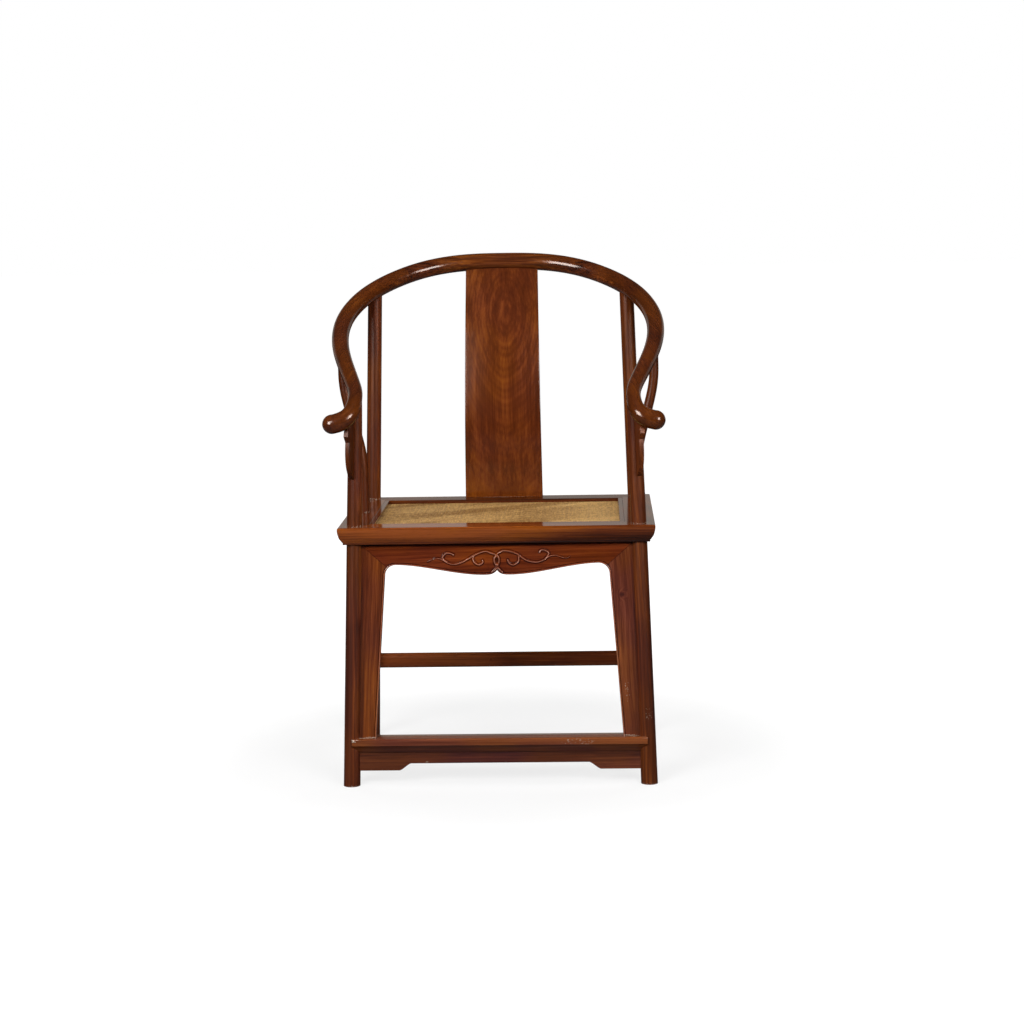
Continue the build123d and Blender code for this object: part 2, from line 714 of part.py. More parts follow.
# Boards between the legs.
front_top = arch_top(leg_x, opening_half_top, apron_crown, apron_lobe, front_plane(), apron_thickness)
front_upright = arch_upright(1, leg_x, opening_half_top, opening_half_foot, apron_crown, footrest_height,
                             front_plane(), apron_thickness)
side_top = arch_top(leg_y, side_opening_half_top, side_apron_crown, None, right_plane(), apron_thickness)
side_shape = (side_opening_half_top, side_opening_half_foot, side_apron_crown, side_stretcher_height)
side_back = arch_upright(1, leg_y, *side_shape, right_plane(), apron_thickness)
side_front = arch_upright(-1, leg_y, *side_shape, right_plane(), apron_thickness)
foot_apron = footrest_apron_board()
back_top = back_apron_piece(False)
back_ear = back_apron_piece(True)
side_bar = stretcher_bar(leg_y, side_stretcher_height, right_plane())
rear_bar = stretcher_bar(leg_x, rear_stretcher_height, back_plane())
footrest = footrest_board()

# Legs with their posts, grooved and mortised for everything that meets them.
floor_cut = block((-mid_span, mid_span), (-mid_span, mid_span), (-mid_span, 0))
front_blank = leg_blank(-1, 0, front_post_height, front_post_diameter)
rear_blank = leg_blank(1, 0, rear_post_height, rear_post_diameter)
bracket_core = tapered_bar(leg_point(seat_middle, -1), leg_point(front_post_height + crest_diameter, -1),
                           front_post_diameter / 2 - bracket_tongue, front_post_diameter / 2 - bracket_tongue)
bracket = bracket_board(0) - bracket_core - blank
front_leg = (front_blank - floor_cut - blank) + post_tenon(-1, front_post_height, 0)
front_leg = front_leg - (bracket_board(fit_gap) - bracket_core)
rear_leg = (rear_blank - floor_cut - blank) + post_tenon(1, rear_post_height, 0)
side_mortise = stretcher_core(leg_y, side_stretcher_height, right_plane(), fit_gap)
rear_mortise = stretcher_core(leg_x, rear_stretcher_height, back_plane(), fit_gap)
foot_mortise = footrest_tenon(fit_gap)
for cut in (front_top, front_upright, side_top, side_front, foot_apron, side_mortise, foot_mortise):
    front_leg = front_leg - cut
for cut in (side_top, side_back, back_top, back_ear, side_mortise, rear_mortise):
    rear_leg = rear_leg - cut

legs_trim = front_blank + rear_blank
side_stretcher = (side_bar - legs_trim) + stretcher_core(leg_y, side_stretcher_height, right_plane(), 0)
rear_stretcher = rear_bar - rear_blank - mirrored(rear_blank)
pieces["stretcher_rear"] = rear_stretcher + stretcher_core(leg_x, rear_stretcher_height, back_plane(), 0)
footrest = footrest - front_blank - mirrored(front_blank)
pieces["footrest"] = footrest + footrest_tenon(0)
pieces["footrest_apron"] = foot_apron
pieces["front_apron_top"] = front_top
pieces["back_apron_top"] = back_top

# Seat frame: mitred rails, with a tongue at each corner that the leg passes through.
front_tongue = corner_tongue(0)
front_mortise = corner_tongue(fit_gap)
left_tongue = mirrored(front_tongue)
leg_holes = leg_blank(-1, fit_gap, front_post_height, front_post_diameter)
rear_hole = leg_blank(1, fit_gap, rear_post_height, rear_post_diameter)
leg_holes = [leg_holes, rear_hole, mirrored(leg_holes), mirrored(rear_hole)]
rebate = cane_space(ledge_width, ledge_top, seat_height + seat_thickness)
batten_sockets = [batten(side * batten_spacing / 2, fit_gap) for side in (-1, 1)]

front_rail = Pos(0, -seat_depth / 2, seat_height) * edge_profile(seat_width, long_rail_width)
front_rail = (front_rail & mitre_keep(True)) + front_tongue + left_tongue - rebate
back_rail = mirror(front_rail, about=Plane.XZ) - splat_tongue(fit_gap)
side_rail = Pos(seat_width / 2, 0, seat_height) * Rot(0, 0, 90) * edge_profile(seat_depth, side_rail_width)
side_rail = (side_rail & mitre_keep(False)) - front_mortise - mirror(front_mortise, about=Plane.XZ) - rebate
side_rail = side_rail - stile_tenons(fit_gap) - leg_holes[0] - leg_holes[1]
for cut in leg_holes + batten_sockets:
    front_rail = front_rail - cut
    back_rail = back_rail - cut
pieces["seat_rail_front"] = front_rail
pieces["seat_rail_back"] = back_rail
pieces["cane_mat"] = cane_space(ledge_width, ledge_top, cane_top)
pieces["coir_webbing"] = cane_space(0, ledge_top - webbing_thickness, ledge_top)
strip_y = (inner_half_depth, inner_half_depth + ledge_width)
strip_x = inner_half_width + ledge_width
strip_z = (cane_top, seat_height)
strip = block((-strip_x, strip_x), strip_y, strip_z)
side_strip = block((inner_half_width, strip_x), (-inner_half_depth, inner_half_depth), strip_z)
pieces["cane_strip_back"] = strip
pieces["cane_strip_front"] = mirror(strip, about=Plane.XZ)

# Splat, stiles.
splat = (splat_board(splat_thickness, 0, 0) & splat_outline(0, 0)) - middle_blank
pieces["back_splat"] = splat + splat_tongue(0)
stile = (stile_blank() - blank) + stile_tenons(0)

# Pieces that come in a left and a right copy.
pairs = {
    "crest_rail_shoulder": shoulder,
    "crest_rail_hook": hook,
    "front_leg": front_leg,
    "rear_leg": rear_leg,
    "arm_stile": stile,
    "arm_bracket": bracket,
    "seat_rail": side_rail,
    "cane_strip": side_strip,
    "seat_batten": batten(batten_spacing / 2, 0),
    "front_apron_upright": front_upright,
    "side_apron_top": side_top,
    "side_apron_front": side_front,
    "side_apron_back": side_back,
    "back_apron_ear": back_ear,
    "stretcher_side": side_stretcher,
}
for name, piece in pairs.items():
    pieces[name + "_right"] = piece
    pieces[name + "_left"] = mirrored(piece)

# ---- Place the chair over its own origin and write one file per piece ----

box = Compound(list(pieces.values())).bounding_box()
move = Pos(-box.center().X, -box.center().Y, -box.min.Z)
os.makedirs("parts", exist_ok=True)
for name, piece in pieces.items():
    export_step(move * piece, f"parts/{name}.step")
size = f"{box.size.X:.1f} x {box.size.Y:.1f} x {box.size.Z:.1f} mm"
print(f"chair {size}, moved by {-box.center().Y:.3f} mm along Y")
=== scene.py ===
import math

import bmesh
import bpy
import numpy as np
from mathutils import Matrix, Vector


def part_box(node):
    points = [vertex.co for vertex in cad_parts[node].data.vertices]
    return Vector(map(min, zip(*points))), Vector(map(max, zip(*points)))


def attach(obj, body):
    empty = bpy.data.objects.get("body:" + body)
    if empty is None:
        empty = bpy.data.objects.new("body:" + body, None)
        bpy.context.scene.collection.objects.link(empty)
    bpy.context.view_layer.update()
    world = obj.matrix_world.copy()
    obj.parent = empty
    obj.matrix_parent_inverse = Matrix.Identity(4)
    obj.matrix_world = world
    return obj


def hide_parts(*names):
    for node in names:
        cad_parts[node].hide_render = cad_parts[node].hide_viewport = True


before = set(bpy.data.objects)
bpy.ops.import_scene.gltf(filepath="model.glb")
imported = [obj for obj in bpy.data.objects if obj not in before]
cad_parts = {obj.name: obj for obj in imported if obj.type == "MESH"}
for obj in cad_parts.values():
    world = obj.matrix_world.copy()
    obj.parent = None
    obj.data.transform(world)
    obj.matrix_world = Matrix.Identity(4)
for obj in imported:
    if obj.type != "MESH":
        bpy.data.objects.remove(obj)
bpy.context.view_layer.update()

# ---- The room ----
# The chair stands on a white studio floor and faces two wide soft boxes, with weaker ones above and
# behind it. Two more at head height put the bright spots in its wax. Lengths are in metres here.

camera_yaw, camera_pitch, camera_roll = 0.034696, 0.131163, -0.016718
camera_place = Vector((0.189689, -4.826839, 1.12961))
sideways = Vector((math.cos(camera_yaw), math.sin(camera_yaw), 0))
ahead = Vector((-math.sin(camera_yaw), math.cos(camera_yaw), 0))
sky = Vector((0, 0, 1))
look = ahead * math.cos(camera_pitch) - sky * math.sin(camera_pitch)
rise = sky * math.cos(camera_pitch) + ahead * math.sin(camera_pitch)
camera_right = sideways * math.cos(camera_roll) + rise * math.sin(camera_roll)
camera_up = rise * math.cos(camera_roll) - sideways * math.sin(camera_roll)
camera = bpy.data.objects.new("camera", bpy.data.cameras.new("camera"))
bpy.context.scene.collection.objects.link(camera)
turn = Matrix((camera_right, camera_up, -look)).transposed().to_4x4()
camera.matrix_world = Matrix.Translation(camera_place) @ turn
camera.data.sensor_width = 36.0
camera.data.lens = 86.32
bpy.context.scene.camera = camera
bpy.context.scene.view_settings.view_transform = "Standard"

warm_white, pure_white = (1.0, 0.86, 0.78), (1.0, 1.0, 1.0)


def soft_box(name, place, target, width, height, power, mirrored):
    """Rectangular area light that faces a target. A mirrored one only shows in the wax, and the others
    light the wood without showing in it."""
    light = bpy.data.lights.new(name, "AREA")
    light.shape = "RECTANGLE"
    light.size = width
    light.size_y = height
    light.energy = power
    lamp = bpy.data.objects.new(name, light)
    bpy.context.scene.collection.objects.link(lamp)
    lamp.location = place
    lamp.rotation_mode = "QUATERNION"
    lamp.rotation_quaternion = (Vector(target) - Vector(place)).to_track_quat("-Z", "Y")
    lamp.visible_camera = False
    lamp.visible_glossy = mirrored
    lamp.visible_diffuse = not mirrored
    light.color = warm_white if mirrored else pure_white


soft_box("front_left_box", (-1.6, -3.1, 2.1), (0, 0, 0.5), 1.4, 1.2, 92, mirrored=False)
soft_box("front_right_box", (1.5, -3.2, 2.1), (0, 0, 0.5), 1.4, 1.2, 71, mirrored=False)
soft_box("top_box", (0.1, -0.8, 3.4), (0, 0, 0.2), 2.8, 2.2, 38, mirrored=False)
soft_box("back_box", (0.3, 2.6, 3.0), (0, 0, 0.4), 3.0, 2.0, 24, mirrored=False)
soft_box("back_left_box", (-2.6, 2.4, 1.3), (0, 0, 0.5), 1.6, 1.4, 42, mirrored=False)
soft_box("back_right_box", (2.6, 2.4, 1.3), (0, 0, 0.5), 1.6, 1.4, 42, mirrored=False)
soft_box("left_box", (-1.9, -2.7, 1.75), (0, 0, 1.0), 1.4, 1.6, 180, mirrored=True)
soft_box("right_box", (2.2, -2.6, 1.62), (0, 0, 1.0), 1.3, 1.3, 130, mirrored=True)


class Signal:
    """One value that varies over a surface. Arithmetic on it adds Math nodes to its material."""

    def __init__(self, tree, socket):
        self.tree = tree
        self.socket = socket

    def node(self, kind, inputs, output=0, stops=None, **settings):
        """Adds a node of a kind, with its settings, ramp stops and inputs, and gives one output."""
        made = self.tree.nodes.new("ShaderNode" + kind)
        for name, value in settings.items():
            setattr(made, name, value)
        if stops:
            ramp = made.color_ramp.elements
            while len(ramp) < len(stops):
                ramp.new(0.5)
            for element, (place, colour) in zip(ramp, stops):
                element.position = place
                element.color = (*colour, 1.0)
        for name, value in inputs.items():
            if isinstance(value, Signal):
                self.tree.links.new(value.socket, made.inputs[name])
            else:
                made.inputs[name].default_value = value
        return Signal(self.tree, made.outputs[output])

    def math(self, operation, first, second=0.0):
        """One operation on one or two values."""
        return self.node("Math", {0: first, 1: second}, operation=operation)

    def __add__(self, other):
        return self.math("ADD", self, other)

    def __sub__(self, other):
        return self.math("SUBTRACT", self, other)

    def __rsub__(self, other):
        return self.math("SUBTRACT", other, self)

    def __mul__(self, other):
        return self.math("MULTIPLY", self, other)

    __radd__ = __add__
    __rmul__ = __mul__

    def fitted(self, low, high, start=0.0, end=1.0):
        """The value mapped from low..high to start..end and kept inside, with soft ends."""
        limits = {"From Min": low, "From Max": high, "To Min": start, "To Max": end}
        return self.node("MapRange", {"Value": self, **limits}, clamp=True, interpolation_type="SMOOTHSTEP")

    def vector(self, operation, second, output=0):
        """One operation on this vector and another."""
        return self.node("VectorMath", {0: self, 1: second}, output=output, operation=operation)

    def part(self, axis):
        """This vector's share along an axis."""
        return self.node("SeparateXYZ", {"Vector": self}, output=axis)

    def blend(self, first, second):
        """Colour mixed from first to second by this value."""
        return self.node("Mix", {0: self, 6: first, 7: second}, output=2, data_type="RGBA")

    def clouds(self, scale, detail=2.0, roughness=0.5):
        """Noise over this position, with its own stretch along each axis."""
        stretched = self.vector("MULTIPLY", scale)
        look = {"Vector": stretched, "Scale": 1.0, "Detail": detail, "Roughness": roughness}
        return self.node("TexNoise", look)

    def distance(self, place, reach):
        """How far this position is from a place, in its own reach along each axis."""
        apart = self.vector("SUBTRACT", place).vector("DIVIDE", reach)
        return apart.vector("LENGTH", (0, 0, 0), output="Value")


world = bpy.data.worlds.new("studio")
bpy.context.scene.world = world
world.use_nodes = True
sky_tree = world.node_tree
sky_way = Signal(sky_tree, sky_tree.nodes.new("ShaderNodeTexCoord").outputs["Generated"])
back_wall_glow, dark_corner_glow = 0.36, 0.03
back_wall = sky_way.part("Y").fitted(0.3, 0.95) * sky_way.part("Z").fitted(0.42, 0.12)
room_light = back_wall * back_wall_glow + dark_corner_glow
room = sky_way.node("Background", {"Color": (1.0, 0.93, 0.84, 1.0), "Strength": room_light})
backdrop = sky_way.node("Background", {"Color": (1.0, 1.0, 1.0, 1.0), "Strength": 1.0})
seen_directly = sky_way.node("LightPath", {}, output="Is Camera Ray")
either = sky_way.node("MixShader", {0: seen_directly, 1: room, 2: backdrop})
sky_tree.links.new(either.socket, sky_tree.nodes["World Output"].inputs["Surface"])

floor_reach = 30.0
floor_mesh = bpy.data.meshes.new("studio_floor")
floor_mesh.from_pydata([(-floor_reach, -floor_reach, 0), (floor_reach, -floor_reach, 0),
                        (floor_reach, floor_reach, 0), (-floor_reach, floor_reach, 0)], [], [(0, 1, 2, 3)])
studio_floor = bpy.data.objects.new("studio_floor", floor_mesh)
bpy.context.scene.collection.objects.link(studio_floor)
white_paper = bpy.data.materials.new("white_paper")
white_paper.use_nodes = True
paper_tree = white_paper.node_tree
floor_way = Signal(paper_tree, paper_tree.nodes.new("ShaderNodeTexCoord").outputs["Object"])
under_glow, far_glow = 0.755, 1.0
far_out = floor_way.distance((0, 0, 0), (1, 1, 1)).fitted(0.45, 1.05, under_glow, far_glow)
paper = floor_way.node("BsdfDiffuse", {"Color": (0.22, 0.22, 0.22, 1.0)})
glow = floor_way.node("Emission", {"Color": (1.0, 1.0, 1.0, 1.0), "Strength": far_out})
lit_paper = floor_way.node("AddShader", {0: paper, 1: glow})
grey_paper = floor_way.node("BsdfDiffuse", {"Color": (0.13, 0.13, 0.13, 1.0)})
seen = floor_way.node("LightPath", {}, output="Is Camera Ray")
surface = floor_way.node("MixShader", {0: seen, 1: grey_paper, 2: lit_paper})
paper_tree.links.new(surface.socket, paper_tree.nodes["Material Output"].inputs["Surface"])
floor_mesh.materials.append(white_paper)

# ---- Legs and posts ----
# Four round legs of dark red-brown hardwood. Each is one length that runs from the floor through the
# seat frame to the crest rail, and splays outwards below the seat. The wax finish is thin and uneven.
# From here on, places are in millimetres from the point on the floor under the middle of the seat.

seat_low, seat_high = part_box("cane_mat")
seat_centre_y = (seat_low.y + seat_high.y) / 2 * 1000
seat_top, seat_underside = 499.0, 466.0
leg_splay = 15.6
leg_x, leg_y = 269.0, 204.0
sides = {"left": -1, "right": 1}
wood_dark = (0.020, 0.0044, 0.0012)
wood_middle = (0.094, 0.0198, 0.0024)
wood_light = (0.255, 0.0640, 0.0070)
dusty_wax = (0.46, 0.37, 0.29, 1.0)
# The pale pink below is rubbed wax on the crowns of beads and carving, and also a painted highlight.
rubbed_wax_and_highlight = (0.52, 0.30, 0.23, 1.0)
golden_wax = (1.02, 1.01, 0.90, 1.0)
plum_wax = (0.98, 0.92, 1.60, 1.0)


def placed(x, y, z):
    """Millimetres from the middle of the seat to metres about the chair's own origin."""
    return (x / 1000, (y + seat_centre_y) / 1000, z / 1000)


def away_from(position, x, y, z, reach_x, reach_y, reach_z):
    """How far a position is from a place on the chair, in its own reach along each axis. The place and the
    reach are in millimetres."""
    return position.distance(placed(x, y, z), (reach_x / 1000, reach_y / 1000, reach_z / 1000))


def hardwood(name, along, start, heart=(26.0, 30.0), slope=0.05, ring=5.0, ring_show=0.10, tone=0.5,
             figure=0.8, fade=None, stain=(1, 1, 1), knots=(), dust=(), specks=(), polish=0.11, shine=0.38):
    """Waxed red-brown hardwood. The grain runs along one direction from a start point. Growth rings are
    circles about a heart line that lies beside the start. ring is how far apart they are, ring_show how
    plain they are, and slope how fast the piece runs out of them. tone shifts the wood from dark (0) to
    light (1), figure is how lively it is, and fade changes it between two places on an axis. stain is the
    colour of the wax over it. polish is how rough the wax is, and shine how much of it is left. knots are
    dark whorls, dust is pale wax left in corners, and specks are chips of pale filler, each with a place
    and its reach."""
    material = bpy.data.materials.new(name)
    material.use_nodes = True
    tree = material.node_tree
    shader = tree.nodes["Principled BSDF"]
    place = Signal(tree, tree.nodes.new("ShaderNodeTexCoord").outputs["Object"])
    along = Vector(along).normalized()
    across = Vector((0, 1, 0)) if abs(along.y) < 0.8 else Vector((1, 0, 0))
    across = (across - along * across.dot(along)).normalized()
    axes = Matrix((along, across, along.cross(across)))
    moved = place.vector("SUBTRACT", placed(*start))
    turned = {"Vector": moved, "Rotation": tuple(axes.to_euler())}
    grain = moved.node("Mapping", turned, vector_type="POINT")
    # Each piece is cut from its own part of the log.
    seed = (sum(map(ord, name)) % 89) * 0.37
    drift = grain.vector("ADD", (seed, seed * 0.7, seed * 0.4))
    # Growth rings, wavy and pushed outwards round a knot, by so many metres.
    waviness, knot_push = 0.010, 0.008
    wobble = drift.clouds((4.0, 22.0, 22.0)) - 0.5
    from_heart = grain.vector("SUBTRACT", (0.0, heart[0] / 1000, heart[1] / 1000))
    from_heart = from_heart.vector("MULTIPLY", (slope, 1.0, 1.0))
    radius = from_heart.vector("LENGTH", (0, 0, 0), output="Value") + wobble * waviness
    for knot in knots:
        radius = radius + away_from(place, *knot).fitted(2.2, 0.0) * knot_push
    rings_per_metre = 1000 / ring
    fine_rings_per_metre = 2700 / ring
    waves = radius.math("SINE", radius * (2 * math.pi * rings_per_metre))
    fine_waves = radius.math("SINE", radius * (2 * math.pi * fine_rings_per_metre))
    rings = waves.math("POWER", waves * 0.5 + 0.5, 2.2) + fine_waves * 0.35
    # Clouds drawn out along the grain, from broad bands down to single fibres and pores.
    bands = drift.clouds((2.0, 40.0, 40.0), detail=3.0, roughness=0.55)
    streaks = drift.clouds((3.0, 150.0, 150.0), roughness=0.6)
    fibre = drift.clouds((12.0, 480.0, 480.0), detail=3.0, roughness=0.6)
    pores = drift.clouds((60.0, 1400.0, 1400.0), detail=1.0).fitted(0.60, 0.74)
    patches = drift.clouds((6.0, 12.0, 12.0)).fitted(0.36, 0.64)
    fading = bands.fitted(0.35, 0.65, 0.5, 1.3)
    lively = (bands * 0.75 + streaks * 0.55 + fibre * 0.50 - 0.90) * figure
    far_rings = radius.fitted(0.05, 0.12, ring_show, ring_show * 0.45)
    depth = lively + rings * fading * far_rings - patches * 0.09 + (tone * 0.60 + 0.17)
    if fade:
        axis, low, high, change = fade
        depth = depth + place.part(axis).fitted(low / 1000, high / 1000) * change
    # Rubbed wear and painted highlights are marked above zero, and dark joints, dirt and painted shade
    # below.
    wear_and_painted_light = place.node("Attribute", {}, output="Fac", attribute_name="wear_and_painted_light")
    depth = depth + wear_and_painted_light * 0.30
    for knot in knots:
        depth = depth - away_from(place, *knot).fitted(1.0, 0.2) * 0.42
    colour = place.node("ValToRGB", {"Fac": depth},
                        stops=[(0.08, wood_dark), (0.48, wood_middle), (0.92, wood_light)])
    mellowed = patches.blend(golden_wax, plum_wax)
    colour = colour.vector("MULTIPLY", stain).vector("MULTIPLY", mellowed)
    colour = (pores * 0.30).blend(colour, (*wood_dark, 1.0))
    # Crowns of beads and carving take rubbed wax that also serves as a painted highlight.
    colour = (wear_and_painted_light.fitted(0.75, 1.1) * 0.55).blend(colour, rubbed_wax_and_highlight)
    gloss = fibre * 0.03 + bands * 0.08 + polish
    for patch in specks:
        chips = drift.clouds((260.0, 800.0, 800.0), detail=1.0) * away_from(place, *patch).fitted(1.3, 0.7)
        colour = (chips.fitted(0.66, 0.71) * 0.9).blend(colour, dusty_wax)
    if dust:
        flakes = place.clouds((520.0, 520.0, 520.0))
    for patch in dust:
        lying = (flakes - away_from(place, *patch) * 0.34).fitted(0.26, 0.40)
        colour = (lying * 0.8).blend(colour, dusty_wax)
    tree.links.new(colour.socket, shader.inputs["Base Color"])
    tree.links.new(gloss.socket, shader.inputs["Roughness"])
    hollows = drift.clouds((8.0, 30.0, 30.0), detail=1.0)
    relief = hollows * 0.36 + fibre * 0.003 - pores * 0.002
    bump = relief.node("Bump", {"Height": relief, "Strength": 0.25, "Distance": 0.0018})
    tree.links.new(bump.socket, shader.inputs["Normal"])
    shader.inputs["Specular IOR Level"].default_value = shine
    return material


def dress(node, material):
    """Gives a carried-over piece its finish."""
    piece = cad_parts[node]
    piece.data.materials.clear()
    piece.data.materials.append(material)


leg_tones = {"front_left": 0.37, "front_right": 0.40, "rear_left": 0.44, "rear_right": 0.54}
leg_chips = [(285, -232, 138, 12, 12, 16)]
for name, tone in leg_tones.items():
    row, side = name.split("_")
    sign_x = sides[side]
    sign_y = 1 if row == "rear" else -1
    lean = (-sign_x * leg_splay, -sign_y * leg_splay, seat_top)
    foot = (sign_x * (leg_x + leg_splay), sign_y * (leg_y + leg_splay), 0)
    seat_joint = (sign_x * leg_x, sign_y * leg_y, seat_top + 0.5, 19, 19, 4)
    finish = hardwood("leg_wood_" + name, lean, foot, heart=(22, 24), tone=tone, ring_show=0.14,
                      stain=(1.02, 1.08, 1.6) if row == "rear" else (1.0, 1.06, 2.0),
                      fade=("Z", 300, 330, 0.10), dust=[seat_joint, (*foot, 22, 22, 4)],
                      polish=0.28, shine=0.14, specks=leg_chips if name == "front_right" else [])
    dress(f"{row}_leg_{side}", finish)

# ---- Seat frame ----
# Four hardwood rails mitred at the corners. The outer edge is moulded: full near the top, tucked in
# towards the foot, with a flat strip along the bottom. A step inside the top holds the cane.

seat_half_width, seat_half_depth = 300.0, 235.0
seat_thickness = 33.0
long_rail_width, side_rail_width = 60.0, 66.0
ledge_width, ledge_drop = 8.0, 9.0
edge_tuck = 9.7
edge_strip = 4.5
crown_radius = 2.6
eased = 0.8
mitre_gap = 0.12
sharpest_curve = 32
# How much the arris over the strip is rubbed lighter, and how much painted shade darkens the strip and the
# lower moulding.
strip_painted_shade, arris_wear, low_painted_shade = 1.1, 0.5, 0.65


def skin(name, grid, material, nodes, wear_and_painted_light=None):
    """Closed surfaces over grids of points in millimetres: the rows run along each piece, and a row is a
    loop round it. The two end loops become flat faces, and all the faces are turned outwards."""
    grids = np.asarray(grid, float)
    if grids.ndim == 3:
        grids = grids[None]
    count, rows, columns = grids.shape[:3]
    index = np.arange(count * rows * columns).reshape(count, rows, columns)
    after = np.roll(index, -1, axis=2)
    quads = np.stack([index[:, :-1], after[:, :-1], after[:, 1:], index[:, 1:]], axis=-1).reshape(-1, 4)
    faces = quads.tolist() + index[:, 0, ::-1].tolist() + index[:, -1].tolist()
    corners = (grids.reshape(-1, 3) + np.array([0.0, seat_centre_y, 0.0])) / 1000
    mesh = bpy.data.meshes.new(name)
    mesh.from_pydata(corners.tolist(), [], faces)
    shell = bmesh.new()
    shell.from_mesh(mesh)
    bmesh.ops.recalc_face_normals(shell, faces=shell.faces)
    shell.to_mesh(mesh)
    shell.free()
    mesh.polygons.foreach_set("use_smooth", np.ones(len(faces), bool))
    mesh.set_sharp_from_angle(angle=math.radians(sharpest_curve))
    if wear_and_painted_light is not None:
        marks = mesh.attributes.new("wear_and_painted_light", "FLOAT", "POINT")
        marks.data.foreach_set("value", np.asarray(wear_and_painted_light, np.float32).reshape(-1))
    mesh.materials.append(material)
    piece = bpy.data.objects.new(name, mesh)
    bpy.context.scene.collection.objects.link(piece)
    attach(piece, "root")
    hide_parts(*nodes)
    return piece


def arc(centre, radius, start, end, count):
    """Points on a round corner: its centre plus the radius times the cosine and sine of even angles, which
    are given in degrees."""
    angle = np.radians(np.linspace(start, end, count))
    return np.stack([centre[0] + radius * np.cos(angle), centre[1] + radius * np.sin(angle)], axis=1)


def soft_line(points, count):
    """Evenly spaced points on a smooth curve through the given ones: cubic pieces whose slopes come from
    the neighbouring points."""
    points = np.asarray(points, float)
    before = np.vstack([2 * points[0] - points[1], points[:-2]])
    start, end = points[:-1], points[1:]
    beyond = np.vstack([points[2:], 2 * points[-1] - points[-2]])
    t = np.linspace(0, 1, 24, endpoint=False)[:, None, None]
    curve = 0.5 * (2 * start + (end - before) * t + (2 * before - 5 * start + 4 * end - beyond) * t ** 2
                   + (3 * start - before - 3 * end + beyond) * t ** 3)
    return evenly(np.vstack([curve.transpose(1, 0, 2).reshape(-1, points.shape[1]), points[-1:]]), count)


def evenly(line, count):
    """The same line with its points at equal distances along it."""
    travelled = np.concatenate([[0], np.cumsum(np.linalg.norm(np.diff(line, axis=0), axis=1))])
    wanted = np.linspace(0, travelled[-1], count)
    return np.stack([np.interp(wanted, travelled, column) for column in line.T], axis=1)


def rail_section(width):
    """Section of a rail, as (distance in from the outer edge, height above the frame's top)."""
    foot = -seat_thickness
    ledge = width - ledge_width
    lower = [(edge_tuck + eased, foot), (edge_tuck, foot + eased), (edge_tuck, foot + edge_strip - 0.5),
             (edge_tuck - 0.1, foot + edge_strip), (edge_tuck - 1.0, foot + edge_strip + 0.1)]
    moulding = soft_line([(edge_tuck - 1.2, foot + edge_strip + 0.5), (6.0, -24.0), (3.4, -20.0),
                          (1.3, -13.0), (0.15, -7.0), (0.0, -4.4)], 14)
    crown = arc((crown_radius, -crown_radius), crown_radius, 180, 95, 7)
    inner = [(6.0, 0.0), (ledge - eased, 0.0), (ledge, -eased), (ledge, -ledge_drop), (width, -ledge_drop),
             (width, foot + eased), (width - eased, foot)]
    return np.vstack([lower, moulding, crown, inner])


rail_tones = {"front": 0.57, "back": 0.42, "left": 0.46, "right": 0.46}
rail_polish = {"front": 0.04, "back": 0.16, "left": 0.08, "right": 0.08}
post_dust = [(x, y, seat_top + 0.5, 19, 19, 3) for x in (-leg_x, leg_x) for y in (-leg_y, leg_y)]
splat_dust = [(0, 214, seat_top + 0.5, 80, 4, 3)]
# The two boxes that show in the wax are kept off the strips and the back and side rails, whose flat tops
# would mirror them as blank white when seen from behind.
without_glare = bpy.data.collections.new("rails_without_glare")
for name, tone in rail_tones.items():
    lengthwise = name in ("front", "back")
    width = long_rail_width if lengthwise else side_rail_width
    section = rail_section(width)
    slope = side_rail_width / long_rail_width if lengthwise else long_rail_width / side_rail_width
    half = seat_half_width if lengthwise else seat_half_depth
    outer = seat_half_depth if lengthwise else seat_half_width
    sign = -1 if name in ("front", "left") else 1
    along = (half - mitre_gap - section[:, 0] * slope)[None, :] * np.linspace(-1, 1, 9)[:, None]
    across = np.broadcast_to(sign * (outer - section[:, 0]), along.shape)
    height = np.broadcast_to(seat_top + section[:, 1], along.shape)
    grid = np.stack([along, across, height] if lengthwise else [across, along, height], axis=-1)
    above_strip = section[:, 1] + seat_thickness - edge_strip
    marks = arris_wear * (abs(above_strip) < 0.15) * (section[:, 0] < 14)
    # The flat strip along the bottom is painted dark as shade, and the lower moulding grows darker towards
    # the foot as painted shade.
    marks = marks - strip_painted_shade * (above_strip < -0.2)
    marks = marks - low_painted_shade * np.clip((-11 - section[:, 1]) / 9, 0, 1) * (section[:, 0] < 10)
    direction = (1, 0, 0) if lengthwise else (0, 1, 0)
    start = (0, sign * outer, seat_top) if lengthwise else (sign * outer, 0, seat_top)
    finish = hardwood("seat_frame_" + name, direction, start, heart=(30, -46), tone=tone, ring_show=0.09,
                      fade=("X", 300, -120, 0.38) if name == "front" else None, figure=1.2,
                      polish=rail_polish[name], dust=post_dust + (splat_dust if name == "back" else []))
    rail = skin("seat_frame_rail_" + name, grid, finish, ["seat_rail_" + name],
                wear_and_painted_light=np.broadcast_to(marks, along.shape))
    if name != "front":
        without_glare.objects.link(rail)
    dress("cane_strip_" + name, finish)
    without_glare.objects.link(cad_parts["cane_strip_" + name])
for member in without_glare.collection_objects:
    member.light_linking.link_state = "EXCLUDE"
for lamp in ("left_box", "right_box"):
    bpy.data.objects[lamp].light_linking.receiver_collection = without_glare

# ---- Cane seat ----
# A tight mat of split cane woven in a fine twill and stretched over the step of the frame. Palm fibre
# cords are laced under it from rail to rail, and two bowed battens carry them.

cane_level = 492.0
cane_half_x, cane_half_y = 242.0, 183.0
cane_thickness = 1.8
strand_width = 2.2
cane_pale = (0.76, 0.465, 0.170)
cane_golden = (0.26, 0.126, 0.036)
cane_shadow = (0.10, 0.048, 0.015, 1.0)
strand_swell = 3.4


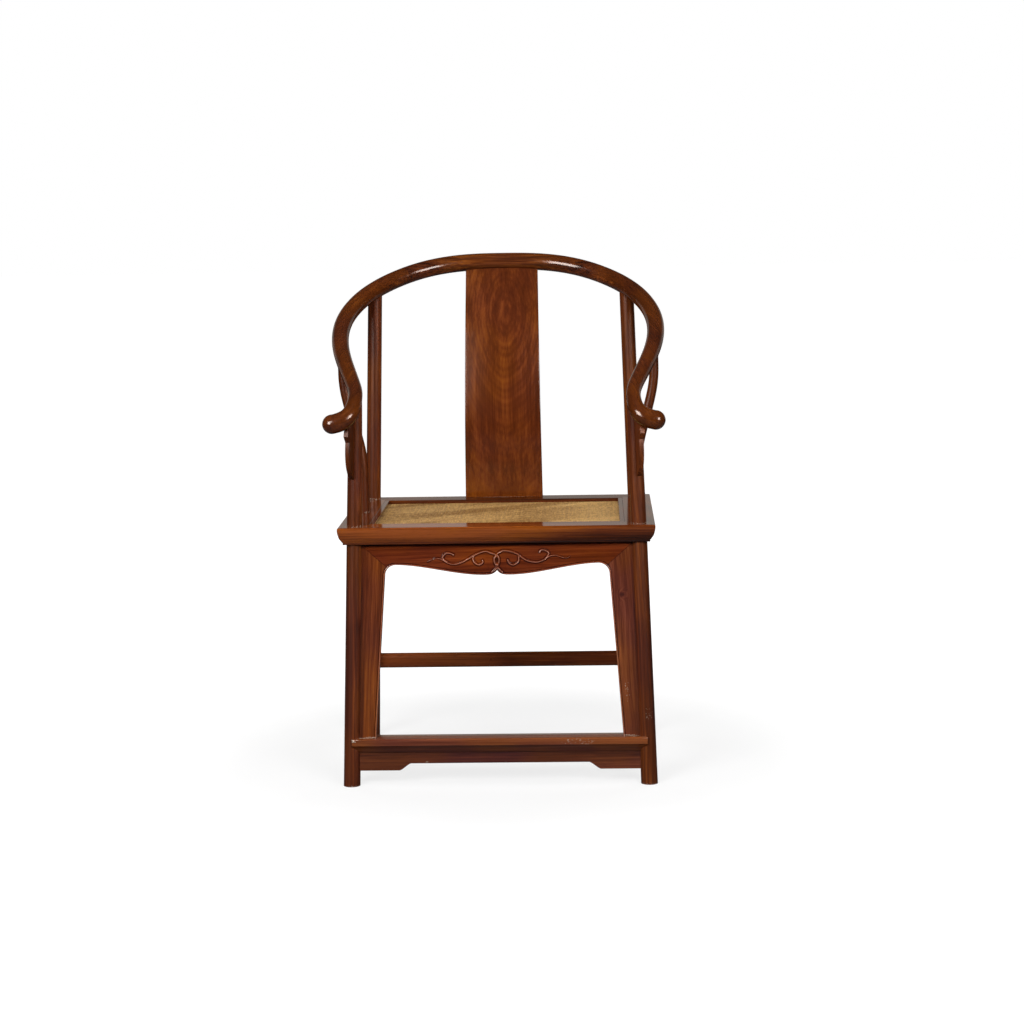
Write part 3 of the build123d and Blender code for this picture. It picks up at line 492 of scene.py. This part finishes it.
def woven_cane():
    """Split cane in a twill: each strand goes over two and under two, and has its own shade."""
    material = bpy.data.materials.new("woven_cane")
    material.use_nodes = True
    tree = material.node_tree
    shader = tree.nodes["Principled BSDF"]
    place = Signal(tree, tree.nodes.new("ShaderNodeTexCoord").outputs["Object"])
    sway = place.clouds((6.0, 6.0, 6.0), detail=1.0) * 1.6
    x = place.part("X") * (1000 / strand_width) + sway
    y = place.part("Y") * (1000 / strand_width) + sway
    column = x.math("FLOOR", x)
    row = y.math("FLOOR", y)
    over = x.math("LESS_THAN", x.math("FLOORED_MODULO", column + row, 4.0), 2.0)
    x_in = x.math("FRACT", x) - 0.5
    y_in = y.math("FRACT", y) - 0.5
    height = over * (1 - x_in * x_in * strand_swell) + (1 - over) * (1 - y_in * y_in * strand_swell)
    shade_x = x.node("TexWhiteNoise", {"W": column}, noise_dimensions="1D")
    shade_y = y.node("TexWhiteNoise", {"W": row + 41.0}, noise_dimensions="1D")
    shade = over * shade_x + (1 - over) * shade_y
    turned = place.node("Mapping", {"Vector": place, "Rotation": (0.0, 0.0, -0.6)}, vector_type="POINT")
    # Diagonal painted shadow bands cross the mat, and its right side is lightened with painted light.
    shadow_bands_painted = turned.clouds((3.0, 24.0, 1.0)).fitted(0.62, 0.40)
    flecks = place.clouds((260.0, 42.0, 42.0), roughness=0.7)
    painted_light_right = place.part("X").fitted(0.02, 0.20)
    tint = shade * 0.26 + flecks * 1.1 + shadow_bands_painted * 0.31 + painted_light_right * 0.34 - 0.41
    colour = tint.node("ValToRGB", {"Fac": tint}, stops=[(0.15, cane_golden), (0.85, cane_pale)])
    colour = (height.fitted(0.85, 0.2) * 0.7).blend(colour, cane_shadow)
    tree.links.new(colour.socket, shader.inputs["Base Color"])
    rough = shade * 0.15 + 0.52
    tree.links.new(rough.socket, shader.inputs["Roughness"])
    bump = height.node("Bump", {"Height": height, "Strength": 0.7, "Distance": 0.0006})
    tree.links.new(bump.socket, shader.inputs["Normal"])
    shader.inputs["Specular IOR Level"].default_value = 0.15
    return material


cane_x = np.linspace(-cane_half_x, cane_half_x, 40)
cane_y = np.linspace(-cane_half_y, cane_half_y, 30)
round_x = np.concatenate([cane_x, cane_x[::-1]])
level = np.repeat([cane_level, cane_level - cane_thickness], len(cane_x))
shape = (len(cane_y), len(round_x))
grid = np.stack([np.broadcast_to(round_x, shape), np.broadcast_to(cane_y[:, None], shape),
                 np.broadcast_to(level, shape)], axis=-1)
cane = skin("cane_seat_mat", grid, woven_cane(), ["cane_mat"])

cord_radius = 0.8
cord_swing = 0.65
cord_level = 488.5
webbing_half_x, webbing_half_y = 233.8, 174.8
cord_spacing = 12.6
cord_margin = 8.0
fibre_dark = (0.055, 0.026, 0.011)
fibre_light = (0.21, 0.115, 0.052)


def fibre_cord():
    """Brown palm fibre, twisted, with a dry matt surface."""
    material = bpy.data.materials.new("palm_fibre_cord")
    material.use_nodes = True
    tree = material.node_tree
    shader = tree.nodes["Principled BSDF"]
    place = Signal(tree, tree.nodes.new("ShaderNodeTexCoord").outputs["Object"])
    twist = place.clouds((900.0, 900.0, 900.0))
    worn = place.clouds((40.0, 40.0, 40.0))
    tint = twist * 0.5 + worn * 0.6
    colour = tint.node("ValToRGB", {"Fac": tint}, stops=[(0.3, fibre_dark), (0.8, fibre_light)])
    tree.links.new(colour.socket, shader.inputs["Base Color"])
    rough = twist * 0.2 + 0.7
    tree.links.new(rough.socket, shader.inputs["Roughness"])
    bump = twist.node("Bump", {"Height": twist, "Strength": 0.8, "Distance": 0.0005})
    tree.links.new(bump.socket, shader.inputs["Normal"])
    return material


def laced_cords(lengthwise):
    """Parallel cords as six-sided tubes. Each waves over and under the ones it crosses, and its neighbour
    waves the other way."""
    reach, spread = (webbing_half_x, webbing_half_y) if lengthwise else (webbing_half_y, webbing_half_x)
    count = int((spread - cord_margin) / cord_spacing) * 2 + 1
    across = (np.arange(count) - (count - 1) / 2) * cord_spacing
    run = np.linspace(-reach, reach, 150)
    phase = np.arange(count) % 2 * math.pi + (0 if lengthwise else math.pi)
    swing = cord_swing * np.cos(run[None, :] * math.pi / cord_spacing + phase[:, None])
    angle = np.arange(6) * math.pi / 3
    shape = (count, len(run), len(angle))
    length = np.broadcast_to(run[None, :, None], shape)
    side = np.broadcast_to((across[:, None] + 0 * run)[:, :, None] + cord_radius * np.cos(angle), shape)
    height = cord_level + swing[:, :, None] + cord_radius * np.sin(angle)
    return np.stack([length, side, height] if lengthwise else [side, length, height], axis=-1)


fibre = fibre_cord()
for way in ("lengthwise", "crosswise"):
    cords = laced_cords(way == "lengthwise")
    skin("palm_cords_" + way, cords, fibre, ["coir_webbing"])

batten_tones = {"left": 0.30, "right": 0.38}
for side, sign in sides.items():
    finish = hardwood("batten_wood_" + side, (0, 1, 0), (sign * 95, 0, 470), tone=batten_tones[side])
    dress("seat_batten_" + side, finish)

# ---- Aprons between the legs ----
# Thin boards let into the legs and up under the seat frame, mitred at the corners of each opening. A
# small bead runs along the opening. The front one carries a low relief of two crossing tendrils.

opening_crown, corner_radius = 424.6, 21.0
corner_level = opening_crown - corner_radius
footrest_top = 93.0
stretcher_top = 142.0
leg_groove = 5.0
board_half = 6.0
bead_radius = 1.7
mitre_shift = 0.12
leg_foot_diameter, leg_taper = 32, 2


def leg_radius(height):
    """Radius of a leg at a height: it thins evenly from the floor to the seat."""
    return (leg_foot_diameter - leg_taper * height / seat_top) / 2


def board_limit(half, height):
    """How far from the middle a board ends inside the groove of a leg, at a height: the leg's axis there,
    less its radius, and on by the depth of the groove."""
    return half + leg_splay * (1 - height / seat_top) - leg_radius(height) + leg_groove


def leaning(face):
    """Gives the way from a board's own plane, as along, height and distance out, to its place on the chair.
    Each plane leans with the legs."""
    lean = leg_splay / seat_top
    tilt = 1 / math.sqrt(1 + lean * lean)

    def stand(flat, out):
        """The plane passes through the axes of two legs, and out is measured square to it."""
        along, height = flat[..., 0], flat[..., 1]
        middle = leg_y if face in ("front", "back") else leg_x
        away = middle + leg_splay - lean * height + out * tilt
        raised = height + out * lean * tilt
        sign = -1 if face in ("front", "left") else 1
        if face in ("front", "back"):
            return np.stack([along, sign * away, raised], axis=-1)
        return np.stack([sign * away, along, raised], axis=-1)

    return stand


def ruled_board(name, edge, border, stand, material, nodes, half=board_half, bead=True, rows=8,
                carving=None, mitred=(False, False)):
    """Board between its open edge and its outer border, which have as many points each. Each row of the
    grid starts on the edge, goes over the bead, straight across the front to the border and back along the
    rear."""
    across = border - edge
    straight = across / np.linalg.norm(across, axis=1, keepdims=True)
    run = np.gradient(edge, axis=0)
    square = np.stack([-run[:, 1], run[:, 0]], axis=1)
    square = square / np.linalg.norm(square, axis=1, keepdims=True)
    square = square * np.sign((square * straight).sum(axis=1, keepdims=True))
    travelled = np.concatenate([[0], np.cumsum(np.linalg.norm(np.diff(edge, axis=0), axis=1))])
    to_start, to_end = travelled, travelled[-1] - travelled
    turn_in = np.exp(-to_start / 4) * mitred[0] + np.exp(-to_end / 4) * mitred[1]
    inward = square * (1 - turn_in[:, None]) + straight * turn_in[:, None]
    inward = inward / np.linalg.norm(inward, axis=1, keepdims=True)
    # The bead is rubbed where people's hands and dusters reach it and carries a painted highlight on its
    # crown, and the groove beside it is painted dark as shade.
    if bead:
        arch = arc((bead_radius, half - 0.9), bead_radius, 180, 14, 9)
        groove = [(3.7, half - 0.8), (4.3, half - 0.2)]
        near = np.vstack([[(0, 0.8 - half), (0, half - 1.6)], arch, groove])
        near_marks = np.array([-0.3, -0.2, 0.2, 0.5, 0.8, 0.9, 0.9, 0.8, 0.3, -0.4, -1.2, -1.4, -0.7])
    else:
        near = np.array([(0, 0.7 - half), (0, half - 0.9), (0.25, half - 0.3), (0.9, half)])
        near_marks = np.array([0, 0, 0.2, 0.1])
    field_start = 5.0 if bead else 1.8
    begin = edge + inward * field_start
    share = np.linspace(0, 1, rows)[None, :, None]
    field = begin[:, None, :] + (border - begin)[:, None, :] * share
    field_out = np.full(field.shape[:2], float(half))
    to_border = np.linalg.norm(border[:, None, :] - field, axis=-1)
    # Painted shade darkens the board beside the legs' grooves, and a painted shadow of the seat frame
    # darkens its top.
    leg_gap_shade = np.exp(-((to_border - leg_groove) / 3.5) ** 2)
    seat_shadow = np.exp(-((seat_underside - field[..., 1]) / 3.2) ** 4)
    field_marks = -0.9 * leg_gap_shade - seat_shadow
    back_share = np.linspace(1, 0, 4)[None, :, None]
    back = begin[:, None, :] + (border - begin)[:, None, :] * back_share
    rear = np.concatenate([back, (edge + inward * 0.8)[:, None, :]], axis=1)
    beaded = edge[:, None, :] + inward[:, None, :] * near[None, :, :1]
    flat = np.concatenate([beaded, field, rear], axis=1)
    out = np.concatenate([np.broadcast_to(near[:, 1], beaded.shape[:2]), field_out,
                          np.full(rear.shape[:2], -float(half))], axis=1)
    marks = np.concatenate([np.broadcast_to(near_marks, beaded.shape[:2]), field_marks,
                            np.zeros(rear.shape[:2])], axis=1)
    if carving:
        face = slice(2, -rear.shape[1])
        relief, carved_marks = carving(flat[:, face])
        front = out[:, face]
        out[:, face] = np.where(abs(relief) > 0.3, np.maximum(front, half) + relief, front)
        marks[:, face] = np.where(relief > 0.3, carved_marks, marks[:, face] + carved_marks)
    for joined, end in zip(mitred, (0, -1)):
        if joined:
            along_mitre = straight[end]
            away = np.array([-along_mitre[1], along_mitre[0]])
            away = away * np.sign((away * (edge.mean(axis=0) - edge[end])).sum())
            flat[end] = flat[end] + away * mitre_shift
            distance = ((flat - edge[end]) * away).sum(axis=-1)
            marks = marks - 0.6 * np.exp(-(distance / 0.6) ** 2)
    return skin(name, stand(flat, out), material, nodes, wear_and_painted_light=marks)


def opening_half(half_top, half_foot, height):
    """Half width of an arched opening at a height: it changes evenly from the foot to the round corner."""
    return half_foot + (half_top - half_foot) * (height - footrest_top) / (corner_level - footrest_top)


def upright_lines(half_top, half_foot, foot, half_span):
    """The open edge of an upright board, up its side and round its corner to the mitre, and the line inside
    the leg's groove at matching heights."""
    side = [(opening_half(half_top, half_foot, z), z) for z in np.linspace(foot, corner_level, 40)[:-1]]
    edge = np.vstack([side, arc((half_top - corner_radius, corner_level), corner_radius, 0, 45, 14)])
    share = (edge[:, 1] - foot) / (edge[-1, 1] - foot)
    height = foot + (seat_underside - foot) * share
    return edge, np.stack([board_limit(half_span, height), height], axis=1)


def mirror_line(line):
    """A line's mirror image, followed by the line itself."""
    return np.vstack([(line * (-1, 1))[::-1][:-1], line])


def top_lines(half_line, half_span, count):
    """The lower edge of a top board from mitre to mitre, and its straight upper border."""
    edge = evenly(mirror_line(half_line), count)
    reach = board_limit(half_span, seat_underside)
    border = np.stack([edge[:, 0] * reach / edge[-1, 0], np.full(count, seat_underside)], axis=1)
    return edge, border


front_half_top, front_half_foot = 213.0, 236.0
lobe_x, lobe_low, notch_rise, ogee_rise = 28.0, 403.9, 8.6, 20.7
right_tendril = [(9.7, 409.2), (5, 414.8), (0.4, 419.6), (-3.9, 426.8), (-4.4, 434.7), (0.7, 443.1),
                 (9.5, 448.9), (17.4, 449.6), (28.4, 447.4), (39.4, 443), (48.7, 435.7), (59.7, 429.7),
                 (73.9, 427.5), (83.3, 429), (91.3, 432.5), (98.4, 437.8), (110.3, 440.1),
                 (119.7, 437.3), (129.9, 434.3), (137.8, 437.1)]
right_high_curl = [(91.3, 432.5), (96.1, 438.3), (98.5, 443.9), (94.6, 448.3), (88.4, 450.3), (82.8, 449.6),
                   (81.5, 446.4)]
right_low_curl = [(41.7, 438.2), (41.6, 431), (37.5, 425.5), (31.2, 422.7), (25.7, 424.1), (21.8, 428.6),
                  (20.6, 432.4)]
left_tendril = [(-10.1, 409.4), (-3.7, 414.9), (2, 422), (4.1, 429.1), (3.8, 436.2), (-0.9, 441.8),
                (-8.7, 444.8), (-18.9, 448.7), (-28.4, 447.6), (-39.5, 443.1), (-50.7, 436.9),
                (-61.8, 430.6), (-73, 426), (-84.1, 425), (-93.5, 427.8), (-102.1, 433),
                (-109.2, 436), (-117, 436.8), (-123.4, 433.7), (-131.4, 430.3)]
left_high_curl = [(-94.3, 429.4), (-100.5, 433.5), (-102, 439.1), (-98.7, 444.3), (-93.2, 446.6),
                  (-86.1, 445.2), (-81.7, 442.8)]
left_low_curl = [(-44.3, 438.4), (-45.2, 433.6), (-42.1, 428), (-35.1, 423.5), (-28.8, 425.5),
                 (-26.3, 429.1), (-27.1, 431.8)]
curls = (right_high_curl, left_high_curl, right_low_curl, left_low_curl)
stem_half, stem_height, bud_radius = 2.1, 2.7, 2.5
crossing_hollow, crossing_height = 1.6, 431


def tendrils(field):
    """Height of the carving and its marks over the board's face, with rubbed wax and a painted highlight on
    the crowns. A stem stands up by the cosine of its distance from the middle line, thins towards its tip,
    and has a dark line of dirt and painted shade along its foot. A curl ends in a round bud, and the gap
    where the tendrils cross is hollowed and painted dark as shade."""
    nearest = np.full(field.shape[:2], 9.0)
    bud = np.full(field.shape[:2], 9.0)
    for stem in (right_tendril, left_tendril, *curls):
        line = soft_line(stem, len(stem) * 14)
        place = np.linspace(0, 1, len(line))
        curled = stem in curls
        width = stem_half * (1 - (0.15 if curled else 0.55) * place ** 4)
        apart = np.sqrt(((field[:, :, None, :] - line) ** 2).sum(axis=-1))
        nearest = np.minimum(nearest, (apart / width).min(axis=-1))
        if curled:
            bud = np.minimum(bud, np.sqrt(((field - line[-1]) ** 2).sum(axis=-1)) / bud_radius)
    relief = stem_height * np.cos(np.clip(nearest, 0, 1) * math.pi / 2)
    relief = np.maximum(relief, (stem_height + 0.4) * np.sqrt(np.clip(1 - bud * bud, 0, 1)))
    # Stem crowns and buds get rubbed wax with a painted highlight, stem feet get dirt and painted shade,
    # and the crossing gap gets painted shade.
    marks = 1.1 * np.exp(-(nearest / 0.6) ** 2) - 1.5 * np.exp(-((nearest - 1.35) / 0.4) ** 2)
    inside = np.exp(-((field[..., 0] / 2.2) ** 2 + ((field[..., 1] - crossing_height) / 8) ** 2) ** 2)
    marks = marks + 0.6 * np.exp(-(bud / 0.6) ** 2) - 1.8 * inside
    return relief - crossing_hollow * inside, np.clip(marks, -1.6, 1.1)


# Half of the lower edge: a notch in the middle, a lobe, and a long rise to the round corner.
level_x = np.linspace(0, front_half_top - corner_radius, 420)
far_share = np.clip((level_x - lobe_x) / (front_half_top - corner_radius - lobe_x), 0, 1)
ogee = ogee_rise * (0.85 * far_share ** 2 * (3 - 2 * far_share) + 0.15 * far_share)
notch = notch_rise * np.clip(1 - level_x / lobe_x, 0, 1) ** 4
front_line = np.vstack([np.stack([level_x, lobe_low + ogee + notch], axis=1),
                        arc((front_half_top - corner_radius, corner_level), corner_radius, 90, 45, 30)[1:]])
front_apron_wood = hardwood("front_apron_wood", (1, 0, 0.02), (0, -204, 440), heart=(40, -30), tone=0.68,
                            stain=(1.0, 0.82, 1.3), polish=0.05)
ruled_board("front_apron_carved", *top_lines(front_line, leg_x, 800), leaning("front"), front_apron_wood,
            ["front_apron_top"], rows=96, carving=tendrils, mitred=(True, True))

edge, border = upright_lines(front_half_top, front_half_foot, footrest_top, leg_x)
upright_looks = {
    "left": {"tone": 0.62, "stain": (1.03, 1.03, 1.6)},
    "right": {"tone": 0.65, "stain": (1.0, 1.10, 2.9), "fade": ("Z", 330, 150, 0.10),
              "knots": [(236, -214, 364, 6, 6, 7)], "specks": [(244, -222, 180, 7, 12, 26)]},
}
for side, sign in sides.items():
    finish = hardwood("front_upright_wood_" + side, (-sign * 0.07, 0, 1), (sign * 240, -215, 200),
                      heart=(34, sign * 20), dust=[(sign * 245, -221, footrest_top, 20, 12, 3)],
                      **upright_looks[side])
    ruled_board("front_upright_board_" + side, edge * (sign, 1), border * (sign, 1), leaning("front"),
                finish, ["front_apron_upright_" + side], rows=10, mitred=(False, True))

side_half_top, side_half_foot = 150.0, 172.0
side_line = np.vstack([[(x, opening_crown) for x in np.linspace(0, side_half_top - corner_radius, 30)],
                       arc((side_half_top - corner_radius, corner_level), corner_radius, 90, 45, 14)[1:]])
for face, sign in sides.items():
    finish = hardwood("side_apron_wood_" + face, (0, 1, 0), (sign * 270, 0, 440), heart=(30, 24), tone=0.42)
    ruled_board("side_apron_board_" + face, *top_lines(side_line, leg_y, 130), leaning(face), finish,
                ["side_apron_top_" + face], mitred=(True, True))
    edge, border = upright_lines(side_half_top, side_half_foot, stretcher_top, leg_y)
    for row, way in (("front", -1), ("back", 1)):
        finish = hardwood(f"side_upright_wood_{row}_{face}", (0, -way * 0.07, 1),
                          (sign * 276, way * 170, 250), heart=(24, 30), tone=0.46)
        ruled_board(f"side_upright_board_{row}_{face}", edge * (way, 1), border * (way, 1), leaning(face),
                    finish, [f"side_apron_{row}_{face}"], mitred=(False, True))

back_apron_low, back_ear_low, back_ear_width = 420.0, 374.0, 22.0
back_half_low, back_half_high = board_limit(leg_x, back_apron_low), board_limit(leg_x, seat_underside)
edge = np.stack([np.linspace(-back_half_low, back_half_low, 40), np.full(40, back_apron_low)], axis=1)
border = np.stack([edge[:, 0] * back_half_high / back_half_low, np.full(40, seat_underside)], axis=1)
back_apron_wood = hardwood("back_apron_wood", (1, 0, 0), (0, 204, 440), heart=(40, 24), tone=0.36)
ruled_board("back_apron_board", edge, border, leaning("back"), back_apron_wood, ["back_apron_top"],
            bead=False)
ear_height = np.linspace(back_apron_low, back_ear_low, 12)
ear_limit = board_limit(leg_x, ear_height)
ear_width = back_ear_width * np.linspace(1, 0.5, 12)
for side, sign in sides.items():
    edge = np.stack([sign * (ear_limit - ear_width), ear_height], axis=1)
    border = np.stack([sign * ear_limit, ear_height], axis=1)
    ruled_board("back_ear_board_" + side, edge, border, leaning("back"), back_apron_wood,
                ["back_apron_ear_" + side], bead=False, rows=3)

# ---- Footrest ----
# A flat board let into both front legs, with a deep bevel cut under its front edge and its top worn by
# feet. A thin apron with two ears closes the space below it.

footrest_axis = -leg_y - leg_splay * (1 - footrest_top / seat_top)
footrest_half = leg_x + leg_splay * (1 - footrest_top / seat_top)
footrest_front, footrest_depth = footrest_axis - 22.5, 45.0
footrest_face, footrest_cove, footrest_thickness = 12.5, 14.0, 28.0
face_low, footrest_low = footrest_top - footrest_face, footrest_top - footrest_thickness
footrest_back = footrest_front + footrest_depth
bevel = soft_line([(footrest_front + 0.9, face_low - 0.5), (footrest_front + 7.4, face_low - 6.6),
                   (footrest_front + footrest_cove, footrest_low)], 8)
section = np.vstack([arc((footrest_front + 1.8, footrest_top - 1.8), 1.8, 90, 180, 6),
                     arc((footrest_front + 0.8, face_low + 0.8), 0.8, 180, 235, 4), bevel,
                     [(footrest_back - 1, footrest_low), (footrest_back, footrest_low + 1)],
                     arc((footrest_back - 1.2, footrest_top - 1.2), 1.2, 0, 90, 4)])
# The top edge carries rubbed wear and a painted highlight, and the bevel under it carries painted shade.
section_marks = np.concatenate([[0.3, 0.5, 0.6, 0.5, 0.3, 0.1], [0.1, 0.2, 0.2, 0.0], np.full(8, -0.35),
                                np.zeros(6)])
end_in = np.array([0.0, 0.35, 1.2])
end_ease = np.array([1.2, 0.35, 0.0])
row_x = np.linspace(-260, 260, 30)
row_x = np.concatenate([-footrest_half + end_in, row_x, (footrest_half - end_in)[::-1]])
ease = np.concatenate([end_ease, np.zeros(30), end_ease[::-1]])
core = np.array([footrest_axis, (footrest_top + footrest_low) / 2])
toward = np.sign(core - section)
worn = section[None] + toward[None] * ease[:, None, None]
grid = np.concatenate([np.broadcast_to(row_x[:, None, None], worn.shape[:2] + (1,)), worn], axis=-1)
corner_dust = [(-262, -222, footrest_top, 26, 9, 3), (-279, -239, 90, 6, 4, 4),
               (256, -222, footrest_top, 16, 9, 3)]
footrest_wood = hardwood("footrest_wood", (1, 0, 0), (0, footrest_front, footrest_top), heart=(30, -40),
                         tone=0.72, ring_show=0.05, stain=(1.05, 1.19, 3.3), dust=corner_dust,
                         specks=[(150, footrest_front, 86, 40, 12, 8)])
skin("footrest_board", grid, footrest_wood, ["footrest"],
     wear_and_painted_light=np.broadcast_to(section_marks, worn.shape[:2]))

ear_low, under_low, ear_length, ear_step = 29.0, 42.5, 81.0, 21.0
ear_end = board_limit(leg_x, ear_low)
ear_inner = ear_end - ear_length
step_share = np.linspace(0, 1, 16)
step_fall = 0.6 * step_share + 0.4 * step_share ** 2 * (3 - 2 * step_share)
half_line = np.vstack([[(x, under_low) for x in np.linspace(0, ear_inner - ear_step - 1, 20)],
                       np.stack([ear_inner - ear_step * (1 - step_share),
                                 under_low - (under_low - ear_low) * step_fall], axis=1),
                       [(x, ear_low) for x in np.linspace(ear_inner + 1, ear_end, 10)]])
edge = evenly(mirror_line(half_line), 200)
border_x = edge[:, 0] * board_limit(leg_x, footrest_low) / ear_end
border = np.stack([border_x, np.full(200, footrest_low)], axis=1)
under_wood = hardwood("footrest_apron_wood", (1, 0, 0), (0, -218, 50), heart=(26, 30), tone=0.50,
                      stain=(1.03, 1.24, 4.0), dust=[(-140, -223, 45, 3, 3, 2)])
ruled_board("footrest_apron_board", edge, border, leaning("front"), under_wood, ["footrest_apron"],
            half=5.0, bead=False, rows=6)

# ---- Stretchers ----
# Three round-edged bars join the legs, the rear one a little higher than those at the sides.

# The fade lightens the rear stretcher towards its left end with painted light, where the seat shades it.
dress("stretcher_rear", hardwood("rear_stretcher_wood", (1, 0, 0), (0, 214, 160), heart=(30, 20),
                                 tone=0.62, fade=("X", 20, -60, 0.26), stain=(1.0, 1.05, 1.5),
                                 knots=[(-33, 203, 160, 3, 3, 5)]))
for side, sign in sides.items():
    dress("stretcher_side_" + side, hardwood("side_stretcher_wood_" + side, (0, 1, 0),
                                             (sign * 280, 0, 127), heart=(30, 20), tone=0.44))

# ---- Splat ----
# One wide board bent like the small of a back, cut flat so that its growth rings show as nested ovals.
# Tongues hold it in the rear rail of the seat and in the crest rail.

splat_foot_half, splat_top_half = 79.5, 74.0
splat_half_thickness = 5.5
splat_foot_y, splat_head_y, splat_head_z = 222.0, 298.0, 979.7
splat_belly = 6.0
splat_shares = [(0.0, 0.0), (0.17, -0.035), (0.34, -0.02), (0.52, 0.14), (0.70, 0.42), (0.86, 0.74),
                (1.0, 1.0)]
splat_arris = 2.0

splat_rise, splat_lean = splat_head_z - seat_top, splat_head_y - splat_foot_y
through = []
for up, back in splat_shares:
    swell = splat_belly * math.sin(math.pi * up)
    through.append((seat_top + splat_rise * up, splat_foot_y + splat_lean * back - swell))
# The last two points are left out, so that the board ends inside the crest rail.
bend = soft_line(through, 70)[:-2]
up_share = (bend[:, 0] - seat_top) / splat_rise
half_width = splat_foot_half + (splat_top_half - splat_foot_half) * up_share
corner = splat_half_thickness - splat_arris
loop = np.vstack([arc((-splat_arris, -corner), splat_arris, -90, 0, 5),
                  arc((-splat_arris, corner), splat_arris, 0, 90, 5)])
loop_side = np.concatenate([np.ones(10), -np.ones(10)])
loop_in = np.concatenate([loop[:, 0], loop[::-1, 0]])
loop_depth = np.concatenate([loop[:, 1], loop[::-1, 1]])
slope_y = np.gradient(bend[:, 1]) / np.gradient(bend[:, 0])
square = 1 / np.sqrt(1 + slope_y ** 2)
grid = np.stack([loop_side * (half_width[:, None] + loop_in), bend[:, 1:] + loop_depth * square[:, None],
                 bend[:, :1] - loop_depth * (slope_y * square)[:, None]], axis=-1)
# The splat's narrow edges are lightened as a painted highlight.
painted_edge_highlight = np.where(abs(loop_depth) < splat_half_thickness - 0.2, 0.25, 0.0)
# The fade lightens the splat towards its foot as a painted sheen.
splat_wood = hardwood("splat_wood", (0, 0.12, 1), (8, 270, 858), heart=(0, 0), slope=0.42, ring=15.0,
                      ring_show=0.085, tone=0.61, figure=0.70, fade=("Z", 580, 505, 0.16),
                      stain=(1.05, 1.05, 1.1))
skin("splat_board", grid, splat_wood, ["back_splat"], wear_and_painted_light=np.broadcast_to(painted_edge_highlight, grid.shape[:2]))

# ---- Crest rail ----
# Five sawn lengths of hardwood joined end to end by long scarfs, each locked by a square peg, and then
# rounded as one. It runs from the back down both arms and ends in outward hooks.

crest_lengths = {
    "crest_rail_centre": ((1, 0, 0), (0, 298, 980), 0.46),
    "crest_rail_shoulder_right": ((0.35, -0.9, -0.30), (285, 200, 900), 0.40),
    "crest_rail_shoulder_left": ((-0.35, -0.9, -0.30), (-285, 200, 900), 0.38),
    "crest_rail_hook_right": ((0.3, -0.9, -0.35), (290, -200, 735), 0.46),
    "crest_rail_hook_left": ((-0.3, -0.9, -0.35), (-290, -200, 735), 0.40),
}
for node, (along, start, tone) in crest_lengths.items():
    dress(node, hardwood(node + "_wood", along, start, heart=(25, 22), tone=tone, ring_show=0.05,
                         figure=1.7 if node == "crest_rail_centre" else 0.7, stain=(1.0, 1.08, 1.3)))
dress("crest_scarf_pegs", hardwood("peg_wood", (0, 0, 1), (0, 0, 900), tone=0.22))

# ---- Stiles and brackets under the arms ----
# A slender bent stile stands between the posts on each side, and a small leaf-shaped bracket is let
# into the front of each front post under the hook of the rail.

bracket_tones = {"left": 0.34, "right": 0.60}
for side, sign in sides.items():
    stile_wood = hardwood("stile_wood_" + side, (sign * 0.1, 0, 1), (sign * 270, 4, 600), heart=(22, 20),
                          tone=0.40, dust=[(sign * 266, 4, seat_top, 15, 15, 4)], polish=0.28, shine=0.14)
    dress("arm_stile_" + side, stile_wood)
    bracket_wood = hardwood("bracket_wood_" + side, (0, 0, 1), (sign * 275, -225, 660),
                            tone=bracket_tones[side], polish=0.30, shine=0.14)
    dress("arm_bracket_" + side, bracket_wood)
